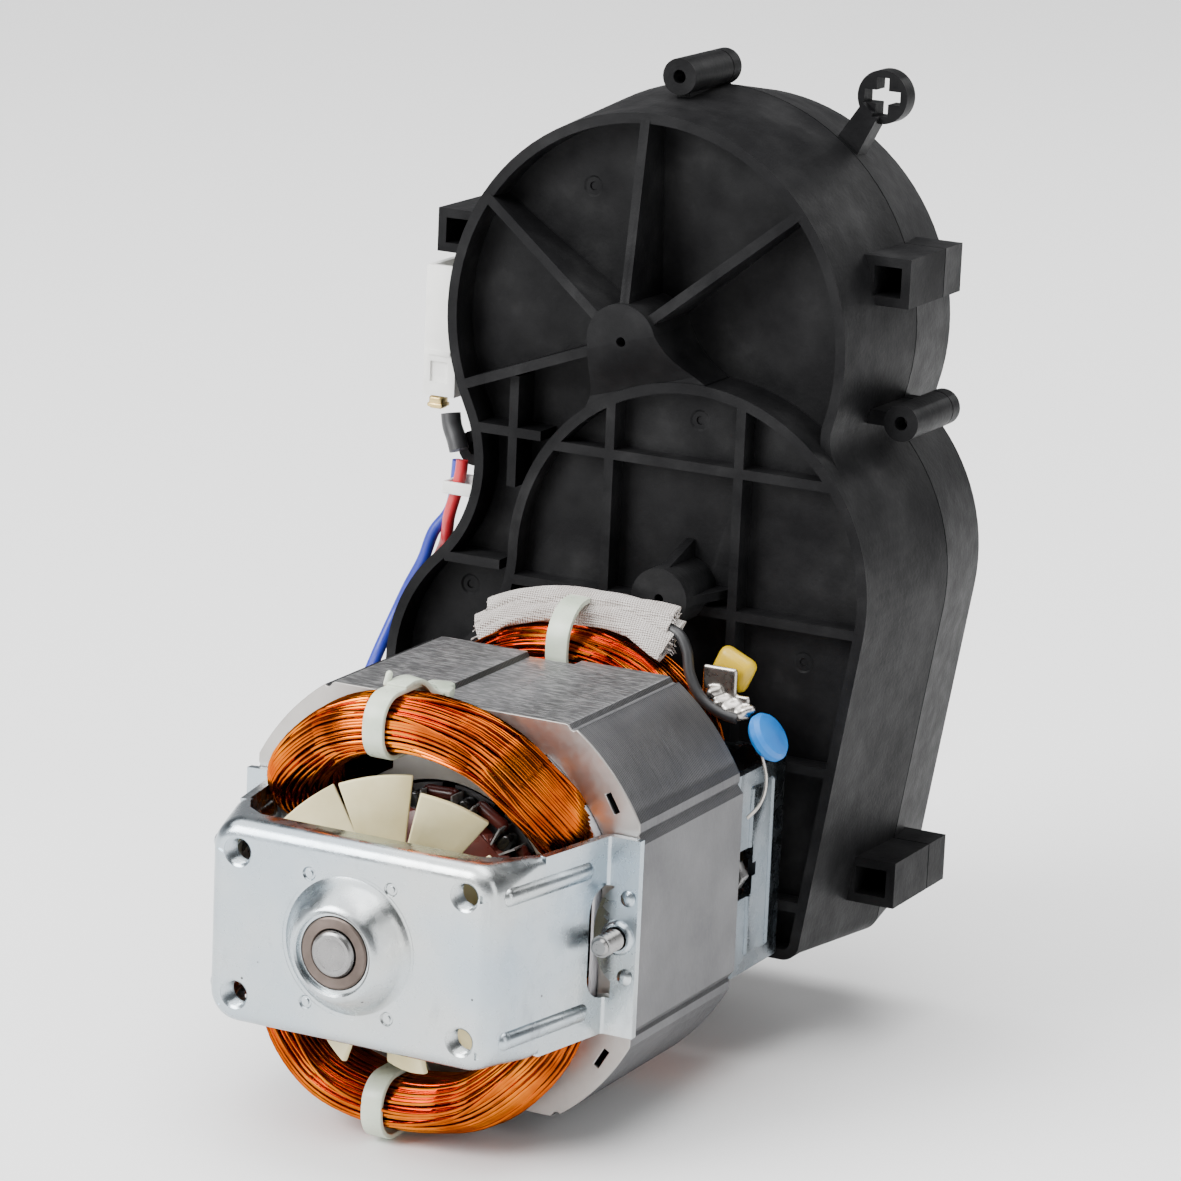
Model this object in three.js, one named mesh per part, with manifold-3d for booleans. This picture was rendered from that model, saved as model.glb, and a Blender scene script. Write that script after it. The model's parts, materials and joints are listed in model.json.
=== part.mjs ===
// A brushed universal motor bolted to a three-stage plastic reduction gearbox.
// Millimetres. The motor's axis runs along Y, the gearbox is behind the motor, and Z is up.
// Pieces are drawn from the motor's axis and the front of its bracket; the whole group is then
// moved so that its origin is the middle of its base.
import * as THREE from "three";
import { mergeVertices } from "three/addons/utils/BufferGeometryUtils.js";
import Module from "manifold-3d";

const wasm = await Module();
wasm.setup();

// ---------------------------------------------------------------- driving dimensions
const GAP = 0.3; // clearance between touching pieces
const SHEET = 1.5; // steel bracket thickness

const BASE = { x: -2.265, y: 69.05, z: 39.8 }; // the middle of the base, from the drawing origin
const radians = THREE.MathUtils.degToRad;

const stator = { front: 32, back: 70.3, halfWidth: 37.9, halfHeight: 34.8 };
const corner = { r: 41.95, from: radians(28), to: radians(54.25) }; // round corners of the stack
const bore = 21; // stator bore radius
const slotSpace = { r: 34.5, halfWidth: 30.5, halfHeight: 28.8 }; // room for the field coils
const pole = { halfWidth: 10.5, outer: 23.9, halfAngle: radians(60) };
const boltHole = 2.1;
const boltX = 34.8; // through bolts, on the horizontal midline

const plate = { halfWidth: 27.5, halfHeight: 18, corner: 5 }; // front bracket face
const tapped = { x: 21.65, z: 12.5, r: 2.5 }; // four tapped holes
const motorScrews = [[-tapped.x, -tapped.z], [tapped.x, tapped.z], [tapped.x, -tapped.z]];
const screwHole = 1.9;
const footX = 38.3;
const shaftR = 4;
const shaftFront = -5.4;
const shaftHole = shaftR + GAP + 0.2; // bore of what turns with the shaft
const bush = { r: 6.25, bore: shaftR + 0.1, seat: 6.6 };
const axle = { r: 2.2 };
const axleHole = axle.r + GAP;

const shell = {
  wall: 1.9,
  rib: 1.8,
  upperRim: 97,
  upperFloor: 103,
  lowerRim: 93,
  lowerFloor: 97,
  parting: 124.3,
};
const rear = { start: shell.parting + GAP, floor: 140.2, face: 142.2, rim: 143.5 };
const draft = { front: 1, parting: 1.032, rear: 0.99 }; // section scale along the shells
const draftCentre = [0, 52];

const pinion = { teeth: 11, module: 0.8 };
const first = { wheel: { teeth: 60, module: 0.8 }, pinion: { teeth: 19, module: 1 } };
const second = { wheel: { teeth: 62, module: 1 }, pinion: { teeth: 15, module: 1.5 } };
const output = { wheel: { teeth: 46, module: 1.5 } };
const pressure = radians(25);
const backlash = 0.22;

const pitch = (gear) => (gear.teeth * gear.module) / 2;
// Each axis lies at the mesh distance from the one before, in the given direction in the XZ plane.
function axisFrom([x, z], distance, degrees) {
  const a = radians(degrees);
  return [x + distance * Math.cos(a), z + distance * Math.sin(a)];
}
const heading = { first: 135, second: 36.3, output: 104.65 };
const axisM = [0, 0];
const axisA = axisFrom(axisM, pitch(pinion) + pitch(first.wheel), heading.first);
const axisB = axisFrom(axisA, pitch(first.pinion) + pitch(second.wheel), heading.second);
const axisC = axisFrom(axisB, pitch(second.pinion) + pitch(output.wheel), heading.output);

// ---------------------------------------------------------------- materials
const finish = (color, roughness, metalness = 0) =>
  new THREE.MeshStandardMaterial({ color, roughness, metalness });
const look = {
  zinc: finish(0xaeb6bd, 0.35, 0.9),
  lamination: finish(0x77767a, 0.45, 0.85),
  copper: finish(0xb5541c, 0.3, 0.6),
  winding: finish(0x4a1512, 0.35, 0.2),
  plastic: finish(0x1f2023, 0.6),
  gear: finish(0xe9e2cc, 0.5),
  fan: finish(0xded6b8, 0.5),
  tie: finish(0xc9d3bf, 0.4),
  paper: finish(0xe8e6e6, 0.7),
  steel: finish(0x8a8a8c, 0.3, 1),
  bronze: finish(0x6a5c54, 0.55, 0.8),
  brass: finish(0xb08d45, 0.35, 1),
  carbon: finish(0x26262a, 0.6),
  connector: finish(0xeeeeec, 0.4),
  red: finish(0xb01c24, 0.4),
  blue: finish(0x1c2f9a, 0.4),
  black: finish(0x1b1b1d, 0.5),
  varistor: finish(0x1b7fcf, 0.35),
  tape: finish(0xcfae2a, 0.45),
  sleeve: finish(0xe3ddcf, 0.85),
  tan: finish(0x8d7a55, 0.5),
};

// ---------------------------------------------------------------- solids
function solid(geometry) {
  const bare = geometry.index ? geometry.toNonIndexed() : geometry.clone();
  bare.deleteAttribute("normal");
  bare.deleteAttribute("uv");
  const merged = mergeVertices(bare, 1e-4);
  const index = merged.index.array;
  const kept = [];
  for (let i = 0; i < index.length; i += 3) {
    const [a, b, c] = index.slice(i, i + 3);
    if (a !== b && b !== c && c !== a) kept.push(a, b, c);
  }
  return new wasm.Manifold(
    new wasm.Mesh({
      numProp: 3,
      vertProperties: merged.attributes.position.array,
      triVerts: new Uint32Array(kept),
    }),
  );
}

const join = (...pieces) => pieces.flat().reduce((a, b) => a.add(b));
const cut = (body, ...tools) => body.subtract(join(...tools));

const assembly = new THREE.Group();
assembly.position.set(-BASE.x, -BASE.y, BASE.z);

function piece(name, body, material) {
  const made = body.getMesh();
  const geometry = new THREE.BufferGeometry();
  geometry.setAttribute("position", new THREE.BufferAttribute(made.vertProperties, 3));
  geometry.setIndex(new THREE.BufferAttribute(made.triVerts, 1));
  geometry.computeVertexNormals();
  const mesh = new THREE.Mesh(geometry, material);
  mesh.name = name;
  assembly.add(mesh);
}

function extrude(outline, depth) {
  const shape = new THREE.Shape(outline.map(([a, b]) => new THREE.Vector2(a, b)));
  return new THREE.ExtrudeGeometry(shape, { depth, bevelEnabled: false });
}
// An outline in (x, z), from y0 to y1.
function prism(outline, y0, y1) {
  return solid(extrude(outline, y1 - y0).rotateX(Math.PI / 2).translate(0, y1, 0));
}
// An outline in (x, y), from z0 to z1.
function plateZ(outline, z0, z1) {
  return solid(extrude(outline, z1 - z0).translate(0, 0, z0));
}
// An outline in (y, z), from x0 to x1.
function plateX(outline, x0, x1) {
  const turn = new THREE.Matrix4().makeBasis(
    new THREE.Vector3(0, 1, 0),
    new THREE.Vector3(0, 0, 1),
    new THREE.Vector3(1, 0, 0),
  );
  return solid(extrude(outline, x1 - x0).applyMatrix4(turn).translate(x0, 0, 0));
}
function box([x0, y0, z0], [x1, y1, z1]) {
  const g = new THREE.BoxGeometry(x1 - x0, y1 - y0, z1 - z0);
  return solid(g.translate((x0 + x1) / 2, (y0 + y1) / 2, (z0 + z1) / 2));
}
function rod([x, z], r, y0, y1, sides = 24) {
  const g = new THREE.CylinderGeometry(r, r, y1 - y0, sides);
  return solid(g.translate(x, (y0 + y1) / 2, z));
}
const ring = (centre, outer, inner, y0, y1, sides = 24) =>
  rod(centre, outer, y0, y1, sides).subtract(rod(centre, inner, y0 - 1, y1 + 1, sides));
function rodX([y, z], r, x0, x1, sides = 16) {
  const g = new THREE.CylinderGeometry(r, r, x1 - x0, sides).rotateZ(Math.PI / 2);
  return solid(g.translate((x0 + x1) / 2, y, z));
}
// A profile of (radius, y) points, going up its outer side, turned about the line through centre.
function lathe(profile, [x, z] = axisM, sides = 36) {
  const points = profile.map(([r, y]) => new THREE.Vector2(r, y));
  return solid(new THREE.LatheGeometry(points, sides).translate(x, 0, z));
}
function tube(points, radius, steps, sides = 8) {
  const curve = new THREE.CatmullRomCurve3(points.map((p) => new THREE.Vector3(...p)));
  const section = new THREE.Shape();
  for (let i = 0; i < sides; i++) {
    const a = (2 * Math.PI * i) / sides;
    const at = [radius * Math.cos(a), radius * Math.sin(a)];
    if (i) section.lineTo(...at);
    else section.moveTo(...at);
  }
  return solid(new THREE.ExtrudeGeometry(section, { steps, extrudePath: curve, curveSegments: 1 }));
}
// A closed path swept by an ellipse: `out` is its half size away from the motor's axis, `along` the other.
function hoop(points, out, along, steps, sides) {
  const curve = new THREE.CatmullRomCurve3(points.map((p) => new THREE.Vector3(...p)), true);
  const positions = [];
  for (let i = 0; i < steps; i++) {
    const p = curve.getPointAt(i / steps);
    const t = curve.getTangentAt(i / steps);
    const n = new THREE.Vector3(p.x, 0, p.z).normalize();
    n.addScaledVector(t, -n.dot(t)).normalize();
    const b = new THREE.Vector3().crossVectors(t, n);
    for (let j = 0; j < sides; j++) {
      const a = (2 * Math.PI * j) / sides;
      const q = p.clone().addScaledVector(n, out * Math.cos(a)).addScaledVector(b, along * Math.sin(a));
      positions.push(q.x, q.y, q.z);
    }
  }
  const index = [];
  for (let i = 0; i < steps; i++)
    for (let j = 0; j < sides; j++) {
      const [a, b] = [i * sides + j, i * sides + ((j + 1) % sides)];
      const [c, d] = [((i + 1) % steps) * sides + j, ((i + 1) % steps) * sides + ((j + 1) % sides)];
      index.push(a, b, c, b, d, c);
    }
  const g = new THREE.BufferGeometry();
  g.setAttribute("position", new THREE.BufferAttribute(new Float32Array(positions), 3));
  g.setIndex(index);
  return solid(g);
}

// ---------------------------------------------------------------- outlines
// A belt round circles [x, y, r], taken anticlockwise; a negative r bends the belt inwards. It is
// drawn `inset` inside its own line.
function belt(circles, inset = 0, step = 0.27) {
  const n = circles.length;
  const leave = circles.map(([x, y, r], i) => {
    const [x2, y2, r2] = circles[(i + 1) % n];
    const distance = Math.hypot(x2 - x, y2 - y);
    const c = THREE.MathUtils.clamp((r - r2) / distance, -1, 1);
    return Math.atan2(y2 - y, x2 - x) - Math.acos(c);
  });
  return circles.flatMap(([x, y, r], i) => {
    const from = leave[(i + n - 1) % n];
    const bend = r > 0 ? 1 : -1;
    let turn = (leave[i] - from) * bend;
    while (turn < -1e-6) turn += 2 * Math.PI;
    while (turn > 2 * Math.PI) turn -= 2 * Math.PI;
    const parts = Math.max(1, Math.ceil(turn / step));
    return Array.from({ length: parts + 1 }, (_, k) => {
      const a = from + (bend * turn * k) / parts;
      return [x + (r - inset) * Math.cos(a), y + (r - inset) * Math.sin(a)];
    });
  });
}
function arc([x, y], r, from, to, parts) {
  return Array.from({ length: parts + 1 }, (_, k) => {
    const a = from + ((to - from) * k) / parts;
    return [x + r * Math.cos(a), y + r * Math.sin(a)];
  });
}
const roundedBox = (x, z, r) =>
  belt([[x - r, z - r, r], [r - x, z - r, r], [r - x, r - z, r], [x - r, r - z, r]], 0, 0.4);
// A strip of the given thickness, to the left of a run of points.
function strip(points, thickness) {
  const side = points.map(([x, y], i) => {
    const before = points[Math.max(i - 1, 0)];
    const after = points[Math.min(i + 1, points.length - 1)];
    const into = new THREE.Vector2(x - before[0], y - before[1]).normalize();
    const away = new THREE.Vector2(after[0] - x, after[1] - y).normalize();
    const mean = into.clone().add(away).normalize();
    const last = i === 0 ? away : into;
    const reach = thickness / Math.max(0.5, mean.dot(last));
    return [x - mean.y * reach, y + mean.x * reach];
  });
  return [...points, ...side.reverse()];
}
// An involute spur gear's outline with one tooth centred on `towards` (radians). The flanks of a
// large wheel are nearly straight, so it may leave out the point in the middle of each.
function gearOutline({ teeth, module }, [x, y], towards, straight = false) {
  const rp = (teeth * module) / 2;
  const base = rp * Math.cos(pressure);
  const root = rp - 1.2 * module;
  const tip = rp + 0.9 * module;
  const inv = (a) => Math.tan(a) - a;
  const half = (r) => {
    const at = r > base ? Math.acos(base / r) : 0;
    return Math.PI / (2 * teeth) - backlash / (2 * rp) + inv(pressure) - inv(at);
  };
  const flank = (straight ? [root, tip] : [root, rp, tip]).map((r) => [r, half(r)]);
  return Array.from({ length: teeth }, (_, k) => {
    const middle = towards + (2 * Math.PI * k) / teeth;
    const rising = flank.map(([r, h]) => [r, middle - h]);
    const falling = flank.toReversed().map(([r, h]) => [r, middle + h]);
    return [...rising, ...falling].map(([r, a]) => [x + r * Math.cos(a), y + r * Math.sin(a)]);
  }).flat();
}
// A tooth on this gear at the given heading, or a gap there for its mate to fill.
const toothAt = (degrees) => radians(degrees);
const gapAt = (degrees, teeth) => radians(degrees + 180) + Math.PI / teeth;

// ---------------------------------------------------------------- gearbox outlines
const lowerCircle = [13.5, 45.9, 35.75];
const footLeft = [-33, -9.6, 11];
const footRight = [36.3, -17.1, 3.5];
const upperCircle = [1, 88.3, 39.7];
const wingCircle = [-19, 20.5, 30];
// The hollow circle of radius r that touches two round ones, on the right of the way between them.
function hollow([x1, y1, r1], [x2, y2, r2], r) {
  const distance = Math.hypot(x2 - x1, y2 - y1);
  const [u, v] = [(x2 - x1) / distance, (y2 - y1) / distance];
  const along = ((r1 + r) ** 2 - (r2 + r) ** 2 + distance ** 2) / (2 * distance);
  const aside = Math.sqrt((r1 + r) ** 2 - along ** 2);
  return [x1 + u * along + v * aside, y1 + v * along - u * aside, -r];
}
const housing = [
  upperCircle,
  hollow(upperCircle, wingCircle, 24),
  wingCircle,
  footLeft,
  footRight,
  lowerCircle,
  hollow(lowerCircle, upperCircle, 8),
];
const raised = [lowerCircle, [-46.2, 46.5, -24], [-42, 18.2, 4], footLeft, footRight];

// Scales each section of a shell about the draft centre, from one scale to another along Y.
function drafted(body, y0, s0, y1, s1) {
  const made = body.getMesh();
  const p = made.vertProperties;
  for (let i = 0; i < p.length; i += 3) {
    const share = THREE.MathUtils.clamp((p[i + 1] - y0) / (y1 - y0), 0, 1);
    const s = s0 + (s1 - s0) * share;
    p[i] = draftCentre[0] + (p[i] - draftCentre[0]) * s;
    p[i + 2] = draftCentre[1] + (p[i + 2] - draftCentre[1]) * s;
  }
  return new wasm.Manifold(new wasm.Mesh({ numProp: 3, vertProperties: p, triVerts: made.triVerts }));
}

// Lugs, two above and two below: the wall each grows from, its outer end and its height band.
const lugs = [
  { wall: 37.5, end: 46.7, low: 96.8, high: 105.6 },
  { wall: -36.5, end: -48.1, low: 95.8, high: 103.9 },
  { wall: 40.5, end: 50.5, low: -12.8, high: -4.3 },
  { wall: -43, end: -51.6, low: -12.8, high: -4.3 },
];
const lug = { front: 109.5, rear: 132, wall: 1.7, depth: 12.5 };
const bosses = [
  { at: [0, 133.1], root: [0, 126.4] },
  { at: [46.7, 76.4], root: [38.6, 76.4] },
  { at: [-38.6, 60], root: [-33.2, 60] },
  { at: [12, -25.4], root: [12, -19.5] },
  { at: [-24, -25.4], root: [-24, -19.5] },
];
const boss = { r: 3.3, hole: 1.25, front: 109, collar: 3, web: 1.3 };

const span = (a, b) => [Math.min(a, b), Math.max(a, b)];
function lugBlock({ wall, end, low, high }, y0, y1) {
  const [x0, x1] = span(wall, end);
  return box([x0, y0, low], [x1, y1, high]);
}
function lugSocket({ wall, end, low, high }) {
  const inward = Math.sign(end - wall);
  const [x0, x1] = span(wall + inward * 2.2, end - inward * lug.wall);
  return box([x0, lug.front - 1, low + lug.wall], [x1, lug.front + lug.depth, high - lug.wall]);
}
function bossWeb({ at, root }, y0, y1) {
  const along = Math.abs(at[0] - root[0]) > Math.abs(at[1] - root[1]);
  const [x0, x1] = along ? span(at[0], root[0]) : [at[0] - boss.web, at[0] + boss.web];
  const [z0, z1] = along ? [at[1] - boss.web, at[1] + boss.web] : span(at[1], root[1]);
  return box([x0, y0, z0], [x1, y1, z1]);
}

// ---------------------------------------------------------------- gearbox shells
const hub = { upper: 88.5, upperR: 6.8, lower: 85, lowerR: 5.5 };
// A rib in the plane through the upper hub, sloping from the hub's top to the rim.
function slopingRib(degrees, reach) {
  const profile = [[4, 103.5], [4, hub.upper + 0.6], [reach, shell.upperRim], [reach, 103.5]];
  const g = extrude(profile, shell.rib).translate(0, 0, -shell.rib / 2);
  const a = radians(degrees);
  const turn = new THREE.Matrix4().makeBasis(
    new THREE.Vector3(Math.cos(a), 0, Math.sin(a)),
    new THREE.Vector3(0, 1, 0),
    new THREE.Vector3(-Math.sin(a), 0, Math.cos(a)),
  );
  return solid(g.applyMatrix4(turn).translate(axisC[0], 0, axisC[1]));
}
const slopingRibs = [147, 92, 40.5, 201];
const gridX = [-2.6, 23.1];
const gridZ = [66.8, 41, 15.2, -10.5];

function frontShell() {
  const { rib, wall } = shell;
  const outer = drafted(
    prism(belt(housing), shell.upperRim, shell.parting),
    shell.upperRim, draft.front, shell.parting, draft.parting,
  );
  const block = prism(belt(raised), shell.lowerRim, shell.upperRim + 4);
  const dish = prism(belt(housing, wall), 90, shell.upperFloor).subtract(
    prism(belt(raised), 89, shell.upperFloor + 1),
  );
  const lowerDish = prism(belt(raised, wall), 90, shell.lowerFloor);
  const cavity = join(
    prism(belt(housing, wall + 0.2, 0.38), shell.upperFloor + wall, shell.parting + 1),
    prism(belt(raised, wall + 0.2, 0.38), shell.lowerFloor + wall, shell.parting + 1),
  );
  const upperRibs = join(
    slopingRibs.map((degrees) => slopingRib(degrees, 38.6)),
    rod(axisC, hub.upperR, hub.upper, 104, 20),
    prism([[-6, 90], [8, 90], [15, 80.5], [-12, 80.5]], hub.upper + 2.5, 104),
    box([-25.2, shell.upperRim, 57], [-23.4, 103.5, 77.5]),
    box([-33, shell.upperRim, 66.2], [-18.6, 103.5, 68]),
    box([-37.5, shell.upperRim, 41.2], [-26, 103.5, 43]),
  );
  const keptUpper = upperRibs.intersect(prism(belt(housing, 0.6, 0.38), 80, 104));
  const grid = join(
    gridX.map((x) => box([x - rib / 2, shell.lowerRim, -20], [x + rib / 2, 98, 82])),
    gridZ.map((z) => box([-45, shell.lowerRim, z - rib / 2], [49, 98, z + rib / 2])),
  ).intersect(prism(belt(raised, 0.6, 0.38), 80, 99));
  const lowerHub = join(
    rod(axisB, hub.lowerR, hub.lower, 98, 16),
    box([axisB[0] - 0.9, hub.lower + 2.5, axisB[1]], [axisB[0] + 0.9, 98, axisB[1] + 8.2]),
    box([axisB[0], hub.lower + 2.5, axisB[1] - 0.9], [axisB[0] + 8.2, 98, axisB[1] + 0.9]),
  );
  const inside = join(
    rod(axisA, 4.5, 98, 105, 12),
    rod(axisB, 5.5, 98, 113.2, 12),
    rod(axisC, 5.5, 104, 123.6, 12),
  );
  const outside = join(
    lugs.map((l) => lugBlock(l, lug.front, shell.parting)),
    bosses.map((b) => rod(b.at, boss.r, boss.front, shell.parting, 14)),
    bosses.map((b) => bossWeb(b, boss.front + 2, shell.parting)),
  ).subtract(cavity);
  const hollowed = cut(outer.add(block), dish, lowerDish, cavity);
  const body = join(hollowed, keptUpper, grid, lowerHub, inside, outside);
  return cut(
    body,
    lugs.map(lugSocket),
    bosses.map((b) => rod(b.at, boss.hole, 100, 130, 8)),
    rod(axisM, 9.6, 80, 101, 20),
    rod(axisA, axleHole, 99.4, 110, 12),
    rod(axisB, axleHole, 92, 120, 12),
    rod(axisC, axleHole, 92, 130, 12),
    [axisB, axisC].map((at) => rod(at, 0.9, 80, 93, 8)),
    motorScrews.map((s) => rod(s, screwHole, 85, 103, 8)),
  );
}

// An eyelet with a cross-shaped hole, and the arm that carries it.
const eyelet = { at: [31.4, 130.7], r: 4.85, y0: 127.4, y1: 131, cross: 3.5, arm: 1.2 };
const eyeletArm = [[22.8, 121.6], [26.4, 117.4], [31.2, 127], [28.2, 129.6]];
function rearShell() {
  const outer = drafted(
    prism(belt(housing), rear.start, rear.rim),
    rear.start, draft.parting, rear.rim, draft.rear,
  );
  const cavity = prism(belt(housing, shell.wall + 0.2, 0.38), rear.start - 1, rear.floor);
  const dish = prism(belt(housing, 2.6), rear.face, rear.rim + 1);
  const ribs = join(
    ring(axisC, 13.5, 10, rear.face - 0.5, rear.rim, 20),
    rod(axisB, 6, rear.face - 0.5, rear.rim, 14),
    rod(axisA, 6, rear.face - 0.5, rear.rim, 14),
    [0, 60, 120, 180, 240, 300].map((d) => rearRib(axisC, d, 12, 36.5)),
    [200, 255, 300, 345].map((d) => rearRib(axisB, d, 5, 50)),
  ).intersect(prism(belt(housing, 1.5, 0.38), 100, 150));
  const inside = join(
    rod(axisA, 4.5, 125, rear.floor + 0.5, 12),
    rod(axisB, 4.5, 138.3, rear.floor + 0.5, 12),
  );
  const outside = join(
    lugs.map((l) => lugBlock(l, rear.start, lug.rear)),
    bosses.map((b) => rod(b.at, boss.r, rear.start, rear.start + boss.collar, 14)),
    bosses.map((b) => bossWeb(b, rear.start, rear.start + boss.collar)),
    rod(eyelet.at, eyelet.r, eyelet.y0, eyelet.y1, 18),
    prism(eyeletArm, eyelet.y0 - 1.4, eyelet.y1 - 0.4),
  ).subtract(cavity);
  const { at, cross, arm, y0, y1 } = eyelet;
  return cut(
    join(cut(outer, cavity, dish), ribs, inside, outside),
    rod(axisC, 8.75, 120, 150, 20),
    bosses.map((b) => rod(b.at, 1.5, 120, 132, 8)),
    [axisA, axisB].map((at) => rod(at, axleHole, 120, rear.floor + 0.4, 12)),
    box([at[0] - cross, y0 - 1, at[1] - arm], [at[0] + cross, y1 + 1, at[1] + arm]),
    box([at[0] - arm, y0 - 1, at[1] - cross], [at[0] + arm, y1 + 1, at[1] + cross]),
  );
}
function rearRib([x, z], degrees, from, to) {
  const a = radians(degrees);
  const [c, s, h] = [Math.cos(a), Math.sin(a), shell.rib / 2];
  const at = (d, side) => [x + d * c - side * s, z + d * s + side * c];
  const outline = [at(from, -h), at(to, -h), at(to, h), at(from, h)];
  return prism(outline, rear.face - 0.5, rear.rim);
}
piece("gearbox_front_shell", frontShell(), look.plastic);
piece("gearbox_rear_shell", rearShell(), look.plastic);

bosses.forEach((b, i) => {
  const head = rear.start + boss.collar + GAP;
  const screw = join(rod(b.at, 0.9, 113, head + 0.5, 8), rod(b.at, 2.7, head, head + 2, 12));
  piece(`shell_screw_${i + 1}`, screw, look.steel);
});

// ---------------------------------------------------------------- gears and axles
const face = {
  pinion: [104, 113],
  firstWheel: [105.3, 112.6],
  firstPinion: [112.4, 124],
  secondWheel: [114, 123],
  secondPinion: [122.8, 137.6],
  output: [125.4, 137],
};
function compound(at, wheel, wheelPhase, wheelFace, pin, pinPhase, pinFace) {
  const body = prism(gearOutline(wheel, at, wheelPhase, true), ...wheelFace).add(
    prism(gearOutline(pin, at, pinPhase), ...pinFace),
  );
  return cut(body, rod(at, axle.r + 0.2, wheelFace[0] - 1, pinFace[1] + 1, 12));
}
const pinionOutline = gearOutline(pinion, axisM, toothAt(heading.first));
piece(
  "motor_pinion",
  cut(prism(pinionOutline, ...face.pinion), rod(axisM, 2.4, 100, 120, 10)),
  look.steel,
);
piece(
  "first_gear",
  compound(
    axisA,
    first.wheel, gapAt(heading.first, first.wheel.teeth), face.firstWheel,
    first.pinion, toothAt(heading.second), face.firstPinion,
  ),
  look.gear,
);
piece(
  "second_gear",
  compound(
    axisB,
    second.wheel, gapAt(heading.second, second.wheel.teeth), face.secondWheel,
    second.pinion, toothAt(heading.output), face.secondPinion,
  ),
  look.gear,
);
const socket = { acrossFlats: 9.4, depth: 13, end: 143.2 };
function outputGear() {
  const phase = gapAt(heading.output, output.wheel.teeth);
  const wheel = prism(gearOutline(output.wheel, axisC, phase, true), ...face.output);
  const hubBody = rod(axisC, 8.3, 124, socket.end, 20);
  const across = socket.acrossFlats / 2 / Math.cos(Math.PI / 6);
  return cut(
    wheel.add(hubBody),
    rod(axisC, across, socket.end - socket.depth, 145, 6),
    rod(axisC, axle.r + 0.2, 120, 128.8, 12),
  );
}
piece("output_gear", outputGear(), look.gear);
piece("first_axle", rod(axisA, axle.r, 99.8, rear.floor, 12), look.steel);
piece("second_axle", rod(axisB, axle.r, 92.4, rear.floor, 12), look.steel);
piece("output_pin", rod(axisC, axle.r, 92.4, 128.4, 12), look.steel);

// ---------------------------------------------------------------- brackets and bolts
// The front bracket: a flat face with a domed boss, lips along its top and bottom, and two arms
// that spread back to feet on the stator.
const footFront = stator.front - GAP - SHEET;
const armFront = [[plate.halfWidth - 3.2, 0], [plate.halfWidth - 1, 0.6], [plate.halfWidth, 2.4]];
const footLine = [[32.2, 28.2], [32.8, 30], [34, footFront], [footX, footFront]];
const armLine = [...armFront, ...footLine];
const lipLine = [
  [0, plate.halfHeight - 3],
  [0.7, plate.halfHeight - 1],
  [2.6, plate.halfHeight],
  [6.2, plate.halfHeight + 0.3],
];
function frontBracket() {
  const { halfWidth, halfHeight } = plate;
  const facePlate = prism(roundedBox(halfWidth - 1, halfHeight, plate.corner), 0, SHEET);
  const lip = strip(lipLine, -SHEET);
  const upperLip = plateX(lip.toReversed(), 5 - halfWidth, halfWidth - 5);
  const lips = [upperLip, upperLip.mirror([0, 0, 1])];
  const arm = plateZ(strip(armLine, SHEET).toReversed(), -16.4, 16.4);
  const foot = plateZ(strip(footLine, SHEET).toReversed(), -17.2, 17.4);
  const rib = strip([[28.1, 5], [31.6, 25]], -0.8);
  const ribs = [12.4, -12.4].map((z) => plateZ(rib, z - 0.8, z + 0.8));
  const window = join(
    box([25, 25.8, -6.5], [34.4, 34, 4.5]),
    rodX([30, -6.5], 4.2, 25, 34.4, 12),
    rodX([30, 4.5], 4.2, 25, 34.4, 12),
  );
  const rivets = [7.1, -6.5].map((z) => rod([36.4, z], 1.1, footFront - 0.6, footFront + 0.8, 8));
  const right = join(cut(join(arm, foot, ribs), window), rivets);
  const left = right.mirror([1, 0, 0]);
  const dome = lathe([[0, -5], [7.4, -5], [9.6, -3], [11.6, 0], [11.6, 1], [0, 1]], axisM, 24);
  const corners = [[1, 1], [1, -1], [-1, 1], [-1, -1]];
  const collars = corners.map(([a, b]) => rod([a * tapped.x, b * tapped.z], 3.7, 0.5, 3.6, 12));
  return cut(
    join(facePlate, lips, right, left, dome, collars),
    rod(axisM, bush.seat, -10, 5, 24),
    corners.map(([a, b]) => rod([a * tapped.x, b * tapped.z], tapped.r, -5, 6, 12)),
    [1, -1].map((side) => rod([side * boltX, 0], boltHole, 28, 34, 12)),
  );
}
piece("front_bracket", frontBracket(), look.zinc);
piece("front_bush", ring(axisM, bush.r, bush.bore, -4.6, 4, 20), look.bronze);

const rearPlate = { y0: 91.2, y1: 92.7, halfWidth: 36.5 };
function rearBracket() {
  const { y0, y1, halfWidth } = rearPlate;
  const base = stator.back + GAP;
  const facePlate = prism(roundedBox(halfWidth, 18, 4), y0, y1);
  const arm = box([halfWidth - SHEET, base, -18.5], [halfWidth, y1 - 0.5, 18.5]);
  const foot = box([31.4, base, -18.5], [halfWidth, base + SHEET, 18.5]);
  const window = box([31.8, base + SHEET, -4.5], [40, base + 8, 4.5]);
  const right = cut(join(arm, foot), window, rod([boltX, 0], boltHole, 60, 80, 12));
  const collar = rod(axisM, 9, y0, 98, 20);
  const leadWindow = join(
    box([-40, 81.6, 4.4], [-33, 89.6, 10.4]),
    [4.4, 10.4].map((z) => rodX([85.6, z], 4, -40, -33, 12)),
  );
  return cut(
    join(facePlate, right, right.mirror([1, 0, 0]), collar),
    leadWindow,
    rod(axisM, bush.seat, 80, 110, 20),
    motorScrews.map((s) => rod(s, screwHole, 80, 95, 8)),
  );
}
piece("rear_bracket", rearBracket(), look.zinc);
piece("rear_bush", ring(axisM, bush.r, bush.bore, 91.4, 98.2, 20), look.bronze);
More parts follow.
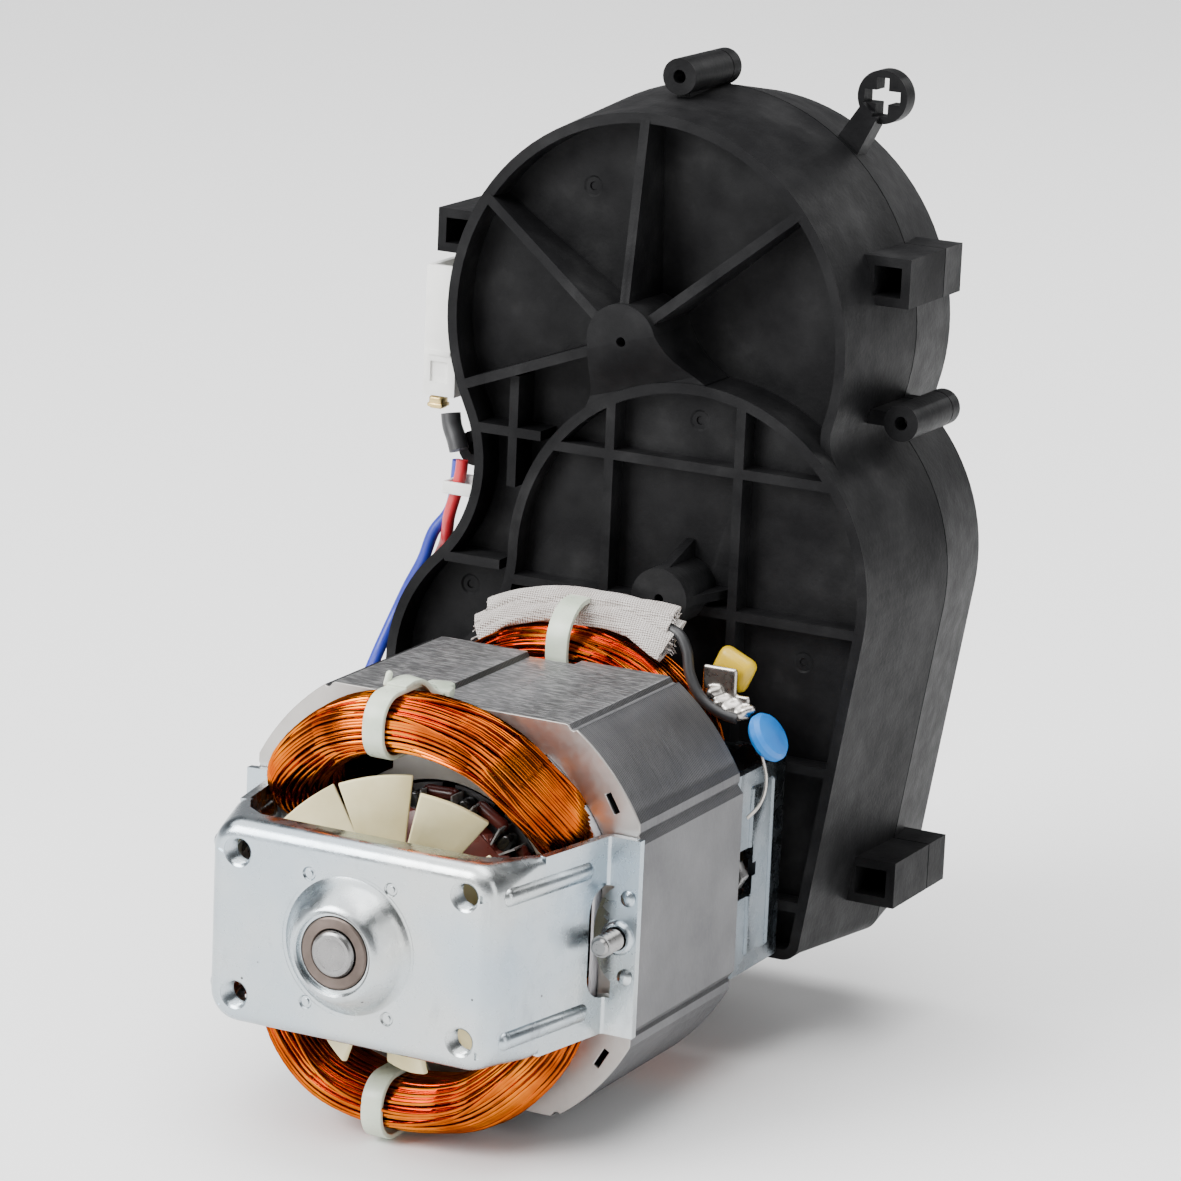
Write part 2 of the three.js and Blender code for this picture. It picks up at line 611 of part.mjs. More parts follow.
motorScrews.forEach((at, i) => {
  const screw = join(rod(at, 1.5, 89, 101, 8), rod(at, 3, 89, rearPlate.y0 - GAP, 12));
  piece(`motor_screw_${i + 1}`, screw, look.steel);
});
[["right", 1], ["left", -1]].forEach(([side, s]) => {
  const head = stator.back + GAP + SHEET + GAP;
  const at = [s * boltX, 0];
  const bolt = join(rod(at, 1.75, 23.4, head + 0.5, 12), rod(at, 2.9, head, head + 2.6, 6));
  piece(`through_bolt_${side}`, bolt, look.steel);
});

// ---------------------------------------------------------------- stator
function statorQuarter() {
  const { halfWidth, halfHeight } = stator;
  return [
    [halfWidth, 0], [halfWidth, 16.7], [36.8, 17.6], [37.5, 18.2],
    ...arc(axisM, corner.r, corner.from, corner.to, 6),
    [23.4, 33.9], [22.8, halfHeight], [5.2, halfHeight], [4.6, halfHeight - 0.5], [0, halfHeight - 0.5],
  ];
}
function mirrored(quarter) {
  const top = [...quarter, ...quarter.slice(0, -1).toReversed().map(([x, z]) => [-x, z])];
  return [...top, ...top.slice(1, -1).toReversed().map(([x, z]) => [x, -z])];
}
// The space inside the yoke, shrunk by `inset`.
function slotOutline(inset = 0) {
  const r = slotSpace.r - inset;
  const [w, h] = [slotSpace.halfWidth - inset, slotSpace.halfHeight - inset];
  return mirrored([[w, 0], ...arc(axisM, r, Math.acos(w / r), Math.asin(h / r), 5), [0, h]]);
}
function statorCore() {
  const { front, back } = stator;
  const half = Math.PI / 2;
  const horn = [
    ...arc(axisM, pole.outer, half - pole.halfAngle, half + pole.halfAngle, 12),
    ...arc(axisM, bore - 1, half + pole.halfAngle, half - pole.halfAngle, 12),
  ];
  const upper = join(
    prism(horn, front, back),
    box([-pole.halfWidth, front, 19], [pole.halfWidth, back, slotSpace.halfHeight + 1]),
  );
  const stack = prism(mirrored(statorQuarter()), front, back);
  const body = cut(stack, prism(slotOutline(), front - 1, back + 1));
  const slots = [[1, 1], [1, -1], [-1, 1], [-1, -1]].map(([a, b]) => {
    const outline = strip([[30.9, 24.1], [32.8, 20.9]], 1.1).map(([x, z]) => [a * x, b * z]);
    return prism(a * b > 0 ? outline : outline.toReversed(), front - 1, back + 1);
  });
  return cut(
    join(body, upper, upper.mirror([0, 0, 1])),
    rod(axisM, bore, front - 1, back + 1, 36),
    slots,
    [1, -1].map((s) => rod([s * boltX, 0], boltHole, front - 1, back + 1, 12)),
  );
}
piece("stator_core", statorCore(), look.lamination);

const coil = { out: 4.3, along: 5.6, mid: 33.9 };
const coilHalf = [[-24, 44, 15.6], [-23.9, 31, 15.8], [-21.6, 23.5, 22.4], [-12.4, 20.6, 30.6]];
function coilPath(sign) {
  const front = [...coilHalf, [0, 20, coil.mid], ...coilHalf.toReversed().map(([x, y, z]) => [-x, y, z])];
  const back = front.toReversed().map(([x, y, z]) => [x, stator.front + stator.back - y, z]);
  return [...front, ...back].map(([x, y, z]) => [x, y, sign * z]);
}
piece("upper_field_coil", hoop(coilPath(1), coil.out, coil.along, 36, 10), look.copper);
piece("lower_field_coil", hoop(coilPath(-1).toReversed(), coil.out, coil.along, 36, 10), look.copper);

function slotLiner() {
  const sheet = cut(
    prism(slotOutline(GAP), stator.front - 1.6, stator.back + 1.6),
    prism(slotOutline(GAP + 0.45), stator.front - 3, stator.back + 3),
  );
  return sheet.intersect(box([12, 0, -40], [60, 100, 40]));
}
piece("slot_liner_right", slotLiner(), look.paper);
piece("slot_liner_left", slotLiner().mirror([1, 0, 0]), look.paper);

// A nylon tie round a coil's end turns.
const tie = { width: 4.2, thick: 1, slack: 0.8 };
function coilTie(x, y, z) {
  const inner = [coil.along + tie.slack, coil.out + tie.slack];
  const band = (grow) => {
    const [a, b] = inner.map((v) => v + grow);
    const corner = ([s, t]) => [y + s * (a - 2.4), z + t * (b - 2.4), 2.4];
    return belt([[1, 1], [-1, 1], [-1, -1], [1, -1]].map(corner), 0, 0.55);
  };
  return cut(plateX(band(tie.thick), x, x + tie.width), plateX(band(0), x - 1, x + tie.width + 1));
}
const tieHead = box([-3.4, 21.5, 38.2], [4.4, 28.5, 41]);
const rearTurnsY = stator.front + stator.back - 20;
piece("front_upper_tie", join(coilTie(-6, 20, coil.mid - 0.2), tieHead), look.tie);
piece("front_lower_tie", coilTie(-4, 20, 0.2 - coil.mid), look.tie);
piece("rear_tie", coilTie(-2.4, rearTurnsY, coil.mid - 0.2), look.tie);

// ---------------------------------------------------------------- rotor
piece(
  "rotor_shaft",
  join(rod(axisM, shaftR, shaftFront, 103.7, 20), rod(axisM, 2.1, 103, 112.8, 10)),
  look.steel,
);
const rotor = { r: 20.3, slots: 12, slotDepth: 2, slotHalf: 0.06, front: 33, back: 69.3 };
const around = (r, a) => [r * Math.cos(a), r * Math.sin(a)];
function rotorCore() {
  const { r, slots, slotDepth, slotHalf } = rotor;
  const each = (2 * Math.PI) / slots;
  const outline = Array.from({ length: slots }, (_, k) => {
    const tooth = [slotHalf, 0.2, each - 0.2, each - slotHalf].map((a) => around(r, k * each + a));
    const slot = [-slotHalf, slotHalf].map((a) => around(r - slotDepth, (k + 1) * each + a));
    return [...tooth, ...slot];
  }).flat();
  return cut(prism(outline, rotor.front, rotor.back), rod(axisM, shaftHole, 20, 80, 12));
}
piece("rotor_core", rotorCore(), look.lamination);
// Lobed end turns: one lump between each pair of slots.
function endWinding(y0, y1) {
  const outline = Array.from({ length: 2 * rotor.slots }, (_, k) =>
    around(k % 2 ? 17.6 : 15, (Math.PI * k) / rotor.slots),
  );
  return cut(prism(outline, y0, y1), rod(axisM, shaftHole, y0 - 1, y1 + 1, 12));
}
piece("rotor_front_winding", endWinding(26.5, rotor.front - GAP), look.winding);
piece("rotor_rear_winding", endWinding(rotor.back + GAP, 76.4), look.winding);

const commutator = { r: 10.5, y0: 77, y1: 89.5, bars: 12 };
function commutatorBody() {
  const { r, y0, y1, bars } = commutator;
  const outline = Array.from({ length: bars }, (_, k) => {
    const a = (2 * Math.PI * k) / bars;
    return [
      around(r - 0.8, a - 0.03),
      around(r, a + 0.03),
      around(r, a + 0.46),
      around(r - 0.8, a + 0.46),
    ];
  }).flat();
  return cut(prism(outline, y0, y1), rod(axisM, shaftHole, y0 - 1, y1 + 1, 12));
}
piece("commutator", commutatorBody(), look.copper);

const fan = { r: 25.6, hub: 10, blades: 10, middle: 14.75, pitch: radians(31), phase: radians(8.75) };
function coolingFan() {
  const { r, hub: inner, blades, middle, pitch: slope, phase } = fan;
  const each = Array.from({ length: blades }, (_, k) => {
    const blade = extrude([[inner - 3, -3], [r - 1, -6.3], [r, 0], [r - 1, 6.3], [inner - 3, 3]], 1.2);
    blade.translate(0, 0, -0.6).rotateX(slope).rotateX(Math.PI / 2);
    return solid(blade.rotateY(phase + (2 * Math.PI * k) / blades).translate(0, middle, 0));
  });
  const hubBody = rod(axisM, inner, middle - 4.5, middle + 4.5, 16);
  return cut(join(each, hubBody), rod(axisM, shaftHole, middle - 10, middle + 10, 12));
}
piece("cooling_fan", coolingFan(), look.fan);

// ---------------------------------------------------------------- brush gear
const brush = { y: 83.4, halfY: 3, halfZ: 2.6, inner: commutator.r + GAP, length: 9 };
const holder = { inner: 12.4, outer: 30.6, wall: 0.8 };
function brushHolder() {
  const { y, halfY, halfZ } = brush;
  const [a, b] = [halfY + GAP, halfZ + GAP];
  const { inner, outer, wall } = holder;
  const guide = box([inner, y - a - wall, -b - wall], [outer, y + a + wall, b + wall]);
  const flange = box([inner + 4, y + a, -b - 4.5], [outer - 4, y + a + wall, b + 4.5]);
  return cut(join(guide, flange), box([0, y - a, -b], [outer - 1, y + a, b]));
}
function brushSpring() {
  const [turns, perTurn] = [4, 7];
  const count = turns * perTurn;
  const points = Array.from({ length: count + 1 }, (_, k) => {
    const a = (2 * Math.PI * k) / perTurn;
    const x = brush.inner + brush.length + 0.8 + (8 * k) / count;
    return [x, brush.y + 1.8 * Math.cos(a), 1.8 * Math.sin(a)];
  });
  return tube(points, 0.3, count, 4);
}
[["right", 1], ["left", -1]].forEach(([side, s]) => {
  const { y, halfY, halfZ, inner, length } = brush;
  const place = (body) => (s > 0 ? body : body.mirror([1, 0, 0]));
  const carbon = box([inner, y - halfY, -halfZ], [inner + length, y + halfY, halfZ]);
  piece(`brush_holder_${side}`, place(brushHolder()), look.brass);
  piece(`brush_${side}`, place(carbon), look.carbon);
  piece(`brush_spring_${side}`, place(brushSpring()), look.steel);
});

// ---------------------------------------------------------------- suppressor parts on the motor
const sleeveLine = [
  [-20.5, 80, 36.4], [-13, 80.2, 39.8], [-4, 80.6, 42.2],
  [6, 80.8, 42.6], [13, 80.6, 42.2], [18.6, 80.2, 41.4],
];
piece("braided_sleeve", tube(sleeveLine, 2.2, 8, 10), look.sleeve);
const blackWire = [
  [19.4, 80, 41], [21.2, 79, 38.6], [22.4, 78.2, 34.6],
  [25, 78, 30.6], [28.6, 78, 28], [32.4, 78.4, 26.8],
];
piece("black_wire", tube(blackWire, 1.1, 10, 8), look.black);
const varistor = { at: [37.6, 80, 24], r: 4.5, thick: 3 };
function disc([x, y, z], r, thick, turn) {
  const g = new THREE.CylinderGeometry(r, r, thick, 16);
  return solid(g.rotateZ(turn).translate(x, y, z));
}
piece("varistor", disc(varistor.at, varistor.r, varistor.thick, radians(-35)), look.varistor);
const varistorLead = [[40.4, 78.6, 19.2], [40.6, 77.4, 16], [39.8, 75.6, 13], [38.6, 73.4, 11.2]];
piece("varistor_lead", tube(varistorLead, 0.4, 6, 6), look.steel);
piece("taped_suppressor", box([25.2, 81.4, 31], [32.6, 84.6, 37.6]), look.tape);
piece("solder_tag", box([24.4, 79.8, 27.4], [31, 80.6, 35.2]), look.steel);

// ---------------------------------------------------------------- leads
const plug = { x0: -48.2, x1: -41.6, y0: 106, y1: 116, z0: 69.5, z1: 93.8, wall: 1.2, depth: 12 };
function connector() {
  const { x0, x1, y0, y1, z0, z1, wall, depth } = plug;
  const body = box([x0, y0, z0], [x1, y1, z1]);
  const mouth = box([x0 + wall, y0 + wall, z1 - depth], [x1 - wall, y1 - wall, z1 + 1]);
  const ramp = [[x0 + 0.2, y0 + 7], [x0 - 1.4, y0 + 5], [x0 - 1.4, y0 + 3], [x0 + 0.2, y0 + 2]];
  return cut(join(body, plateZ(ramp, 78.5, 82)), mouth);
}
piece("connector_housing", connector(), look.connector);
piece("crimp_terminal", box([-47.4, 106.8, 66.8], [-44.6, 109.6, plug.z0 - GAP]), look.tan);
const sleevedLead = [[-43.2, 108, 66.2], [-42.6, 107.6, 64], [-41.3, 107, 61.8], [-40.4, 106.6, 59.8]];
piece("lead_sleeve", tube(sleevedLead, 1.9, 5, 10), look.black);
const redLead = [
  [-38.9, 105.2, 58.4], [-39, 105, 56], [-39.9, 105, 52], [-41.2, 105.2, 47.6], [-42.4, 106.8, 44],
  [-44.2, 109.2, 40.8], [-47.2, 110.8, 35.6], [-51.6, 111.8, 27], [-54, 109.4, 18.4], [-53.6, 103, 11.4],
  [-49.4, 94.6, 7], [-43.6, 88.6, 4.8], [-38, 85.2, 4], [-33.8, 84, 2], [-32.2, 83.6, 0.6],
];
piece("red_lead", tube(redLead, 1.15, 26, 8), look.red);
const blueLead = [
  [-41.6, 108.6, 57.4], [-41.8, 108.6, 54], [-42.2, 108.5, 50], [-43.2, 108.2, 47], [-45.6, 107.4, 43.4],
  [-47.2, 106.6, 38], [-49.8, 106.2, 32.6], [-52, 105.4, 27], [-53.4, 101.4, 19.8], [-52.4, 95.4, 15],
  [-48.8, 90.2, 12.4], [-43.4, 87, 10.6], [-37, 85.2, 10.2], [-32, 83.4, 11.6], [-29.8, 81.6, 14.6],
];
piece("blue_lead", tube(blueLead, 1.15, 26, 8), look.blue);
piece(
  "lead_clip",
  cut(
    box([-44.2, 102.9, 52.2], [-34.4, 110.9, 55.2]),
    box([-43.4, 103.6, 50], [-37.3, 110.2, 58]),
  ),
  look.connector,
);

export default assembly;
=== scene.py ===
"""A brushed universal motor bolted to its ribbed plastic gearbox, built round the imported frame."""

import json
import math
import random

import bmesh
import bpy
from mathutils import Matrix, Vector


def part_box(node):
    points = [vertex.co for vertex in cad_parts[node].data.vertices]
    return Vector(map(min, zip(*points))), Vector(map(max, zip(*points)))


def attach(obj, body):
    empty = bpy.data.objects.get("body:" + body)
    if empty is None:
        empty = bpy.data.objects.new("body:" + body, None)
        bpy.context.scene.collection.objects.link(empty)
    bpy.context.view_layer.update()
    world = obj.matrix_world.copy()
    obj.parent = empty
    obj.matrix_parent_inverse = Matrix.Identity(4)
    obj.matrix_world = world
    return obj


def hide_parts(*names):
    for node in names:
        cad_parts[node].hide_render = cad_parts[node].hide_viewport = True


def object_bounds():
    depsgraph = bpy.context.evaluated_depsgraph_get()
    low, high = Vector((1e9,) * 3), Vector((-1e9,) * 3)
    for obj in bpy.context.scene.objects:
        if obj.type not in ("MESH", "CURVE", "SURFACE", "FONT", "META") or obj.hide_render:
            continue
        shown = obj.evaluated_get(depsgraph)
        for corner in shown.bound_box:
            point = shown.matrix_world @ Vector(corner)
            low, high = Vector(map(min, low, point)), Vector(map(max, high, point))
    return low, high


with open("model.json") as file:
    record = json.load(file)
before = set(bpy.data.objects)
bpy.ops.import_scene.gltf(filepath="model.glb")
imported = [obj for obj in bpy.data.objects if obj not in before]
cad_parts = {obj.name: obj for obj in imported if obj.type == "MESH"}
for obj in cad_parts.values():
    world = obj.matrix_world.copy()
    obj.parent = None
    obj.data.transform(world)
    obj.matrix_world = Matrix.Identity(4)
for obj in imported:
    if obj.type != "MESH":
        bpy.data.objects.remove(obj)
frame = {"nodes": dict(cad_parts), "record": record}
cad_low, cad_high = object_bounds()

random.seed(7)
MM = 0.001
shaft_low, shaft_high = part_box("rotor_shaft")
stator_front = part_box("stator_core")[0].y
STATOR_FRONT = 32.0  # mm from the front of the bracket to the lamination stack
STATOR_BACK = 70.3
SHEETS = 76
SHEETS_START = STATOR_FRONT + 0.5  # the first sheet is a piece of its own
# Pieces are drawn in millimetres from the motor's axis, at the front of its bracket.
ORIGIN = Vector(
    (
        (shaft_low.x + shaft_high.x) / 2,
        stator_front - STATOR_FRONT * MM,
        (shaft_low.z + shaft_high.z) / 2,
    )
)


def place(x, y, z):
    """A point of the motor's drawing, in the frame's metres."""
    return ORIGIN + Vector((x, y, z)) * MM


# ---------------------------------------------------------------- camera, floor and light
def add(name, data):
    """A new object in the scene, with this data."""
    thing = bpy.data.objects.new(name, data)
    bpy.context.scene.collection.objects.link(thing)
    return thing


def make_camera():
    """The camera solved from the photo; its place is in the motor's drawing."""
    data = bpy.data.cameras.new("camera")
    data.lens = 156.8
    data.sensor_width = 36
    data.clip_start, data.clip_end = 0.05, 20
    right = Vector((0.88573, 0.46224, 0.04273))
    up = Vector((-0.14901, 0.19594, 0.96924))
    back = right.cross(up).normalized()
    turn = Matrix((right, up, back)).transposed().to_4x4()
    camera = add("camera", data)
    camera.matrix_world = Matrix.Translation(place(401.7, -707.2, 265.6)) @ turn
    bpy.context.scene.camera = camera


LIT_POINT = Vector((0, 0, 0.08))


def area_light(name, location, size, power):
    """A rectangular light that looks at the middle of the object."""
    data = bpy.data.lights.new(name, "AREA")
    data.shape = "RECTANGLE"
    data.size, data.size_y = size
    data.energy = power
    light = add(name, data)
    light.location = location
    light.rotation_euler = (LIT_POINT - Vector(location)).to_track_quat("-Z", "Y").to_euler()


def soft_sun(power, spread, lean_x, lean_y):
    """A sun as wide as a cloudy sky; the angles are in degrees."""
    data = bpy.data.lights.new("even", "SUN")
    data.energy = power
    data.angle = math.radians(spread)
    even = add("even", data)
    even.rotation_euler = (math.radians(lean_x), math.radians(lean_y), 0)


def grey_world(bands, strength):
    """Surroundings whose grey changes with height: each band is (height, grey)."""
    world = bpy.data.worlds.new("studio")
    world.use_nodes = True
    tree = world.node_tree
    background = tree.nodes["Background"]
    where = tree.nodes.new("ShaderNodeTexCoord")
    split = tree.nodes.new("ShaderNodeSeparateXYZ")
    ramp = tree.nodes.new("ShaderNodeValToRGB")
    for element, (height, grey) in zip(ramp.color_ramp.elements, bands):
        element.position = height
        element.color = (grey, grey, grey * 1.02, 1)
    tree.links.new(where.outputs["Generated"], split.inputs["Vector"])
    tree.links.new(split.outputs["Z"], ramp.inputs["Fac"])
    tree.links.new(ramp.outputs["Color"], background.inputs["Color"])
    background.inputs["Strength"].default_value = strength
    bpy.context.scene.world = world


def make_floor():
    size, height, white = 3.0, cad_low.z - 0.0002, 0.96
    corners = [(a * size, b * size, height) for a, b in ((-1, -1), (1, -1), (1, 1), (-1, 1))]
    mesh = bpy.data.meshes.new("floor")
    mesh.from_pydata(corners, [], [(0, 1, 2, 3)])
    floor = add("floor", mesh)
    material = bpy.data.materials.new("floor")
    material.use_nodes = True
    shader = material.node_tree.nodes["Principled BSDF"]
    shader.inputs["Base Color"].default_value = (white, white, white, 1)
    shader.inputs["Roughness"].default_value = 0.7
    mesh.materials.append(material)


make_camera()
area_light("key_left", (-0.65, -0.98, 0.72), (0.7, 0.8), 27)
area_light("fill_right", (1.1, -0.35, 0.45), (0.5, 1.0), 4)
area_light("top", (0.1, 0.15, 1.35), (1.2, 1.0), 12)
area_light("rim_back", (0.5, 1.1, 0.75), (0.9, 0.6), 5)
soft_sun(4.2, 80, 14, -12)
grey_world(((0.02, 0.85), (0.42, 0.16)), 0.8)
make_floor()


# ---------------------------------------------------------------- materials
class Nodes:
    """A material's node tree, with short calls for the nodes it uses."""

    def __init__(self, name, roughness, metallic=0.0, **sockets):
        self.material = bpy.data.materials.new(name)
        self.material.use_nodes = True
        self.tree = self.material.node_tree
        self.shader = self.tree.nodes["Principled BSDF"]
        self.shader.inputs["Roughness"].default_value = roughness
        self.shader.inputs["Metallic"].default_value = metallic
        for key, value in sockets.items():
            self.shader.inputs[key.replace("_", " ")].default_value = value
        self.where = self.tree.nodes.new("ShaderNodeTexCoord").outputs["Object"]

    def link(self, source, target):
        self.tree.links.new(source, target)

    def noise(self, scale, detail, stretch=None):
        """Noise with `scale` features to the metre, stretched along an axis if asked."""
        node = self.tree.nodes.new("ShaderNodeTexNoise")
        node.inputs["Scale"].default_value = scale
        node.inputs["Detail"].default_value = detail
        node.inputs["Roughness"].default_value = 0.55
        where = self.where
        if stretch:
            mapping = self.tree.nodes.new("ShaderNodeMapping")
            mapping.inputs["Scale"].default_value = stretch
            self.link(where, mapping.inputs["Vector"])
            where = mapping.outputs["Vector"]
        self.link(where, node.inputs["Vector"])
        return node.outputs["Fac"]

    def ramp(self, source, *stops):
        """Colours (or grey values) against a factor: each stop is (position, value)."""
        node = self.tree.nodes.new("ShaderNodeValToRGB")
        elements = node.color_ramp.elements
        while len(elements) < len(stops):
            elements.new(0.5)
        for element, (position, value) in zip(elements, stops):
            element.position = position
            element.color = (*value, 1) if isinstance(value, tuple) else (value, value, value, 1)
        self.link(source, node.inputs["Fac"])
        return node.outputs["Color"]

    def bump(self, source, distance, strength, before=None):
        """A normal from heights of `distance` millimetres, over an earlier one if there is one."""
        node = self.tree.nodes.new("ShaderNodeBump")
        node.inputs["Distance"].default_value = distance * MM
        node.inputs["Strength"].default_value = strength
        self.link(source, node.inputs["Height"])
        if before:
            self.link(before, node.inputs["Normal"])
        return node.outputs["Normal"]

    def math(self, operation, first, second=None, third=None):
        node = self.tree.nodes.new("ShaderNodeMath")
        node.operation = operation
        for socket, value in zip(node.inputs, (first, second, third)):
            if isinstance(value, (int, float)):
                socket.default_value = value
            elif value is not None:
                self.link(value, socket)
        return node.outputs["Value"]

    def stripes(self, direction, pitch, start=0.0):
        """A sine from -1 to 1 along a direction; pitch and start are in millimetres."""
        node = self.tree.nodes.new("ShaderNodeVectorMath")
        node.operation = "DOT_PRODUCT"
        self.link(self.where, node.inputs[0])
        node.inputs[1].default_value = direction
        turns = self.math("MULTIPLY", node.outputs["Value"], 2 * math.pi / (pitch * MM))
        return self.math("SINE", self.math("SUBTRACT", turns, 2 * math.pi * start / pitch))

    def spots(self, scale, reach):
        """1 at scattered small spots, of `reach` cells each, and 0 between them."""
        node = self.tree.nodes.new("ShaderNodeTexVoronoi")
        node.inputs["Scale"].default_value = scale
        self.link(self.where, node.inputs["Vector"])
        size = self.math("MULTIPLY", self.noise(scale * 0.8, 1), reach)
        return self.math("LESS_THAN", node.outputs["Distance"], size)

    def mix(self, share, first, second):
        """From the first colour to the second; each is an RGB value or an output of a node."""
        node = self.tree.nodes.new("ShaderNodeMix")
        node.data_type = "RGBA"
        self.link(share, node.inputs[0])
        for socket, value in ((node.inputs[6], first), (node.inputs[7], second)):
            if isinstance(value, tuple):
                socket.default_value = (*value, 1)
            else:
                self.link(value, socket)
        return node.outputs[2]

    def facing(self):
        """The X, Y and Z of the way the surface faces."""
        geometry = self.tree.nodes.new("ShaderNodeNewGeometry")
        split = self.tree.nodes.new("ShaderNodeSeparateXYZ")
        self.link(geometry.outputs["Normal"], split.inputs["Vector"])
        return split.outputs

    def slope(self):
        """1 on faces that lean equally to the side and up or down, 0 on level and upright ones."""
        way = self.facing()
        both = self.math("ABSOLUTE", self.math("MULTIPLY", way["X"], way["Z"]))
        return self.math("MINIMUM", self.math("MULTIPLY", both, 3.0), 1.0)

    def upward(self):
        """1 on faces that look up or down, 0 on all that lean by more than 14 degrees."""
        steepest = 0.97  # the cosine of 14 degrees
        return self.math("GREATER_THAN", self.math("ABSOLUTE", self.facing()["Z"]), steepest)

    def colour(self, source):
        self.link(source, self.shader.inputs["Base Color"])

    def rough(self, source):
        self.link(source, self.shader.inputs["Roughness"])

    def normal(self, source):
        self.link(source, self.shader.inputs["Normal"])


def black_plastic():
    n = Nodes("black_plastic", 0.45, Specular_IOR_Level=0.07)
    dark, middle, light = (0.005, 0.005, 0.0055), (0.0105, 0.0105, 0.011), (0.021, 0.021, 0.0215)
    n.colour(n.ramp(n.noise(85, 7), (0.36, dark), (0.56, middle), (0.74, light)))
    n.rough(n.ramp(n.noise(240, 5), (0.34, 0.42), (0.66, 0.52)))
    pebble = n.bump(n.noise(1200, 4), 0.1, 0.6)
    n.normal(n.bump(n.noise(210, 4), 0.03, 0.3, pebble))
    return n.material


def zinc_steel(name="zinc_steel", shade=1.0):
    """Zinc-plated sheet: a cloudy film from blue to straw, smudges and dark spots; a shade below 1 darkens
    every colour as painted shade.
    """
    n = Nodes(name, 0.3, 1.0)
    films = ((0.36, 0.43, 0.49), (0.44, 0.485, 0.51), (0.52, 0.525, 0.50))
    blue, plain, straw = (tuple(c * shade for c in film) for film in films)
    film = n.ramp(n.noise(34, 3), (0.32, blue), (0.52, plain), (0.74, straw))
    smudge = n.ramp(n.noise(130, 5, (1, 1, 0.45)), (0.6, 0.0), (0.74, 0.5))
    worn = n.mix(smudge, film, (0.24 * shade, 0.25 * shade, 0.27 * shade))
    n.colour(n.mix(n.spots(160, 0.07), worn, (0.09, 0.09, 0.09)))
    n.rough(n.ramp(n.noise(300, 5), (0.3, 0.18), (0.7, 0.34)))
    grit = n.bump(n.noise(3000, 2), 0.03, 0.45)
    n.normal(n.bump(n.noise(420, 3), 0.05, 0.35, grit))
    return n.material


def lamination_steel():
    """Sheet edges: dark joints on the sloping faces, with painted shade of their deeper grooves; short
    bright dashes on the top and bottom.
    """
    n = Nodes("lamination_steel", 0.42, 0.85)
    base = n.ramp(n.noise(70, 5), (0.3, (0.095, 0.095, 0.1)), (0.7, (0.16, 0.16, 0.165)))
    joint = n.stripes((0, 1, 0), (STATOR_BACK - SHEETS_START) / SHEETS, ORIGIN.y / MM + SHEETS_START)
    # The joints on the sloping faces go almost black: real dark joints, with painted shade in their grooves.
    joint_shade_lines = n.ramp(n.math("MULTIPLY_ADD", joint, 0.5, 0.5), (0.35, 1.0), (0.8, 0.0))
    sides_with_joint_shade = n.mix(n.math("MULTIPLY", joint_shade_lines, n.slope()), base, (0.014, 0.014, 0.015))
    dashes = n.noise(1100, 3, (0.35, 1.3, 0.1))
    top = n.ramp(dashes, (0.36, 0.045), (0.5, 0.2), (0.62, (0.48, 0.475, 0.47)))
    n.colour(n.mix(n.upward(), sides_with_joint_shade, top))
    n.rough(n.ramp(n.noise(900, 3, (1, 9, 1)), (0.3, 0.34), (0.7, 0.46)))
    n.normal(n.bump(n.noise(1500, 2, (0.2, 5, 0.2)), 0.05, 0.6))
    return n.material


def enamelled_copper():
    n = Nodes("enamelled_copper", 0.18, 1.0, Specular_Tint=(1.0, 0.5, 0.15, 1.0))
    dark, middle, light = (0.20, 0.024, 0.001), (0.44, 0.085, 0.003), (0.76, 0.22, 0.008)
    n.colour(n.ramp(n.noise(75, 3), (0.32, dark), (0.5, middle), (0.7, light)))
    n.rough(n.ramp(n.noise(500, 2), (0.3, 0.1), (0.7, 0.19)))
    n.normal(n.bump(n.noise(500, 2), 0.02, 0.2))
    return n.material


def braided_sleeving():
    n = Nodes("braided_sleeving", 0.85, Sheen_Weight=0.3)
    strand = 0.95
    weave = n.math("MULTIPLY", n.stripes((1, 0.9, 0.9), strand), n.stripes((1, -0.9, -0.9), strand))
    cotton = n.ramp(n.noise(160, 4), (0.3, (0.62, 0.56, 0.52)), (0.7, (0.84, 0.80, 0.76)))
    # The dark colour in the weave's gaps is painted shade between the strands.
    shade = n.ramp(n.math("MULTIPLY_ADD", weave, 0.5, 0.5), (0.15, 0.8), (0.55, 0.0))
    n.colour(n.mix(shade, cotton, (0.34, 0.27, 0.23)))
    n.normal(n.bump(weave, 0.2, 1.0, n.bump(n.noise(2600, 2), 0.05, 0.5)))
    return n.material


def plain_finish(name, dark, light, roughness, metallic=0.0):
    """A moulded or drawn surface: two close colours, with a fine grain."""
    n = Nodes(name, roughness, metallic)
    n.colour(n.ramp(n.noise(120, 4), (0.3, dark), (0.7, light)))
    n.rough(n.ramp(n.noise(700, 3), (0.3, roughness * 0.85), (0.7, roughness * 1.2)))
    n.normal(n.bump(n.noise(1600, 2), 0.02, 0.4))
    return n.material


def stamped_steel():
    n = Nodes("stamped_steel", 0.45, 1.0)
    n.colour(n.ramp(n.noise(60, 3), (0.3, (0.37, 0.35, 0.33)), (0.7, (0.46, 0.44, 0.42))))
    n.rough(n.ramp(n.noise(700, 3), (0.3, 0.4), (0.7, 0.5)))
    return n.material


def black_varnish():
    n = Nodes("black_varnish", 0.2)
    n.colour(n.ramp(n.noise(500, 3), (0.3, 0.004), (0.7, (0.016, 0.015, 0.014))))
    n.normal(n.bump(n.noise(900, 3), 0.1, 0.5))
    return n.material


def grey_paper():
    n = Nodes("grey_paper", 0.6)
    n.colour(n.ramp(n.noise(700, 3), (0.3, 0.16), (0.7, (0.36, 0.36, 0.35))))
    n.normal(n.bump(n.noise(3000, 2), 0.03, 0.5))
    return n.material


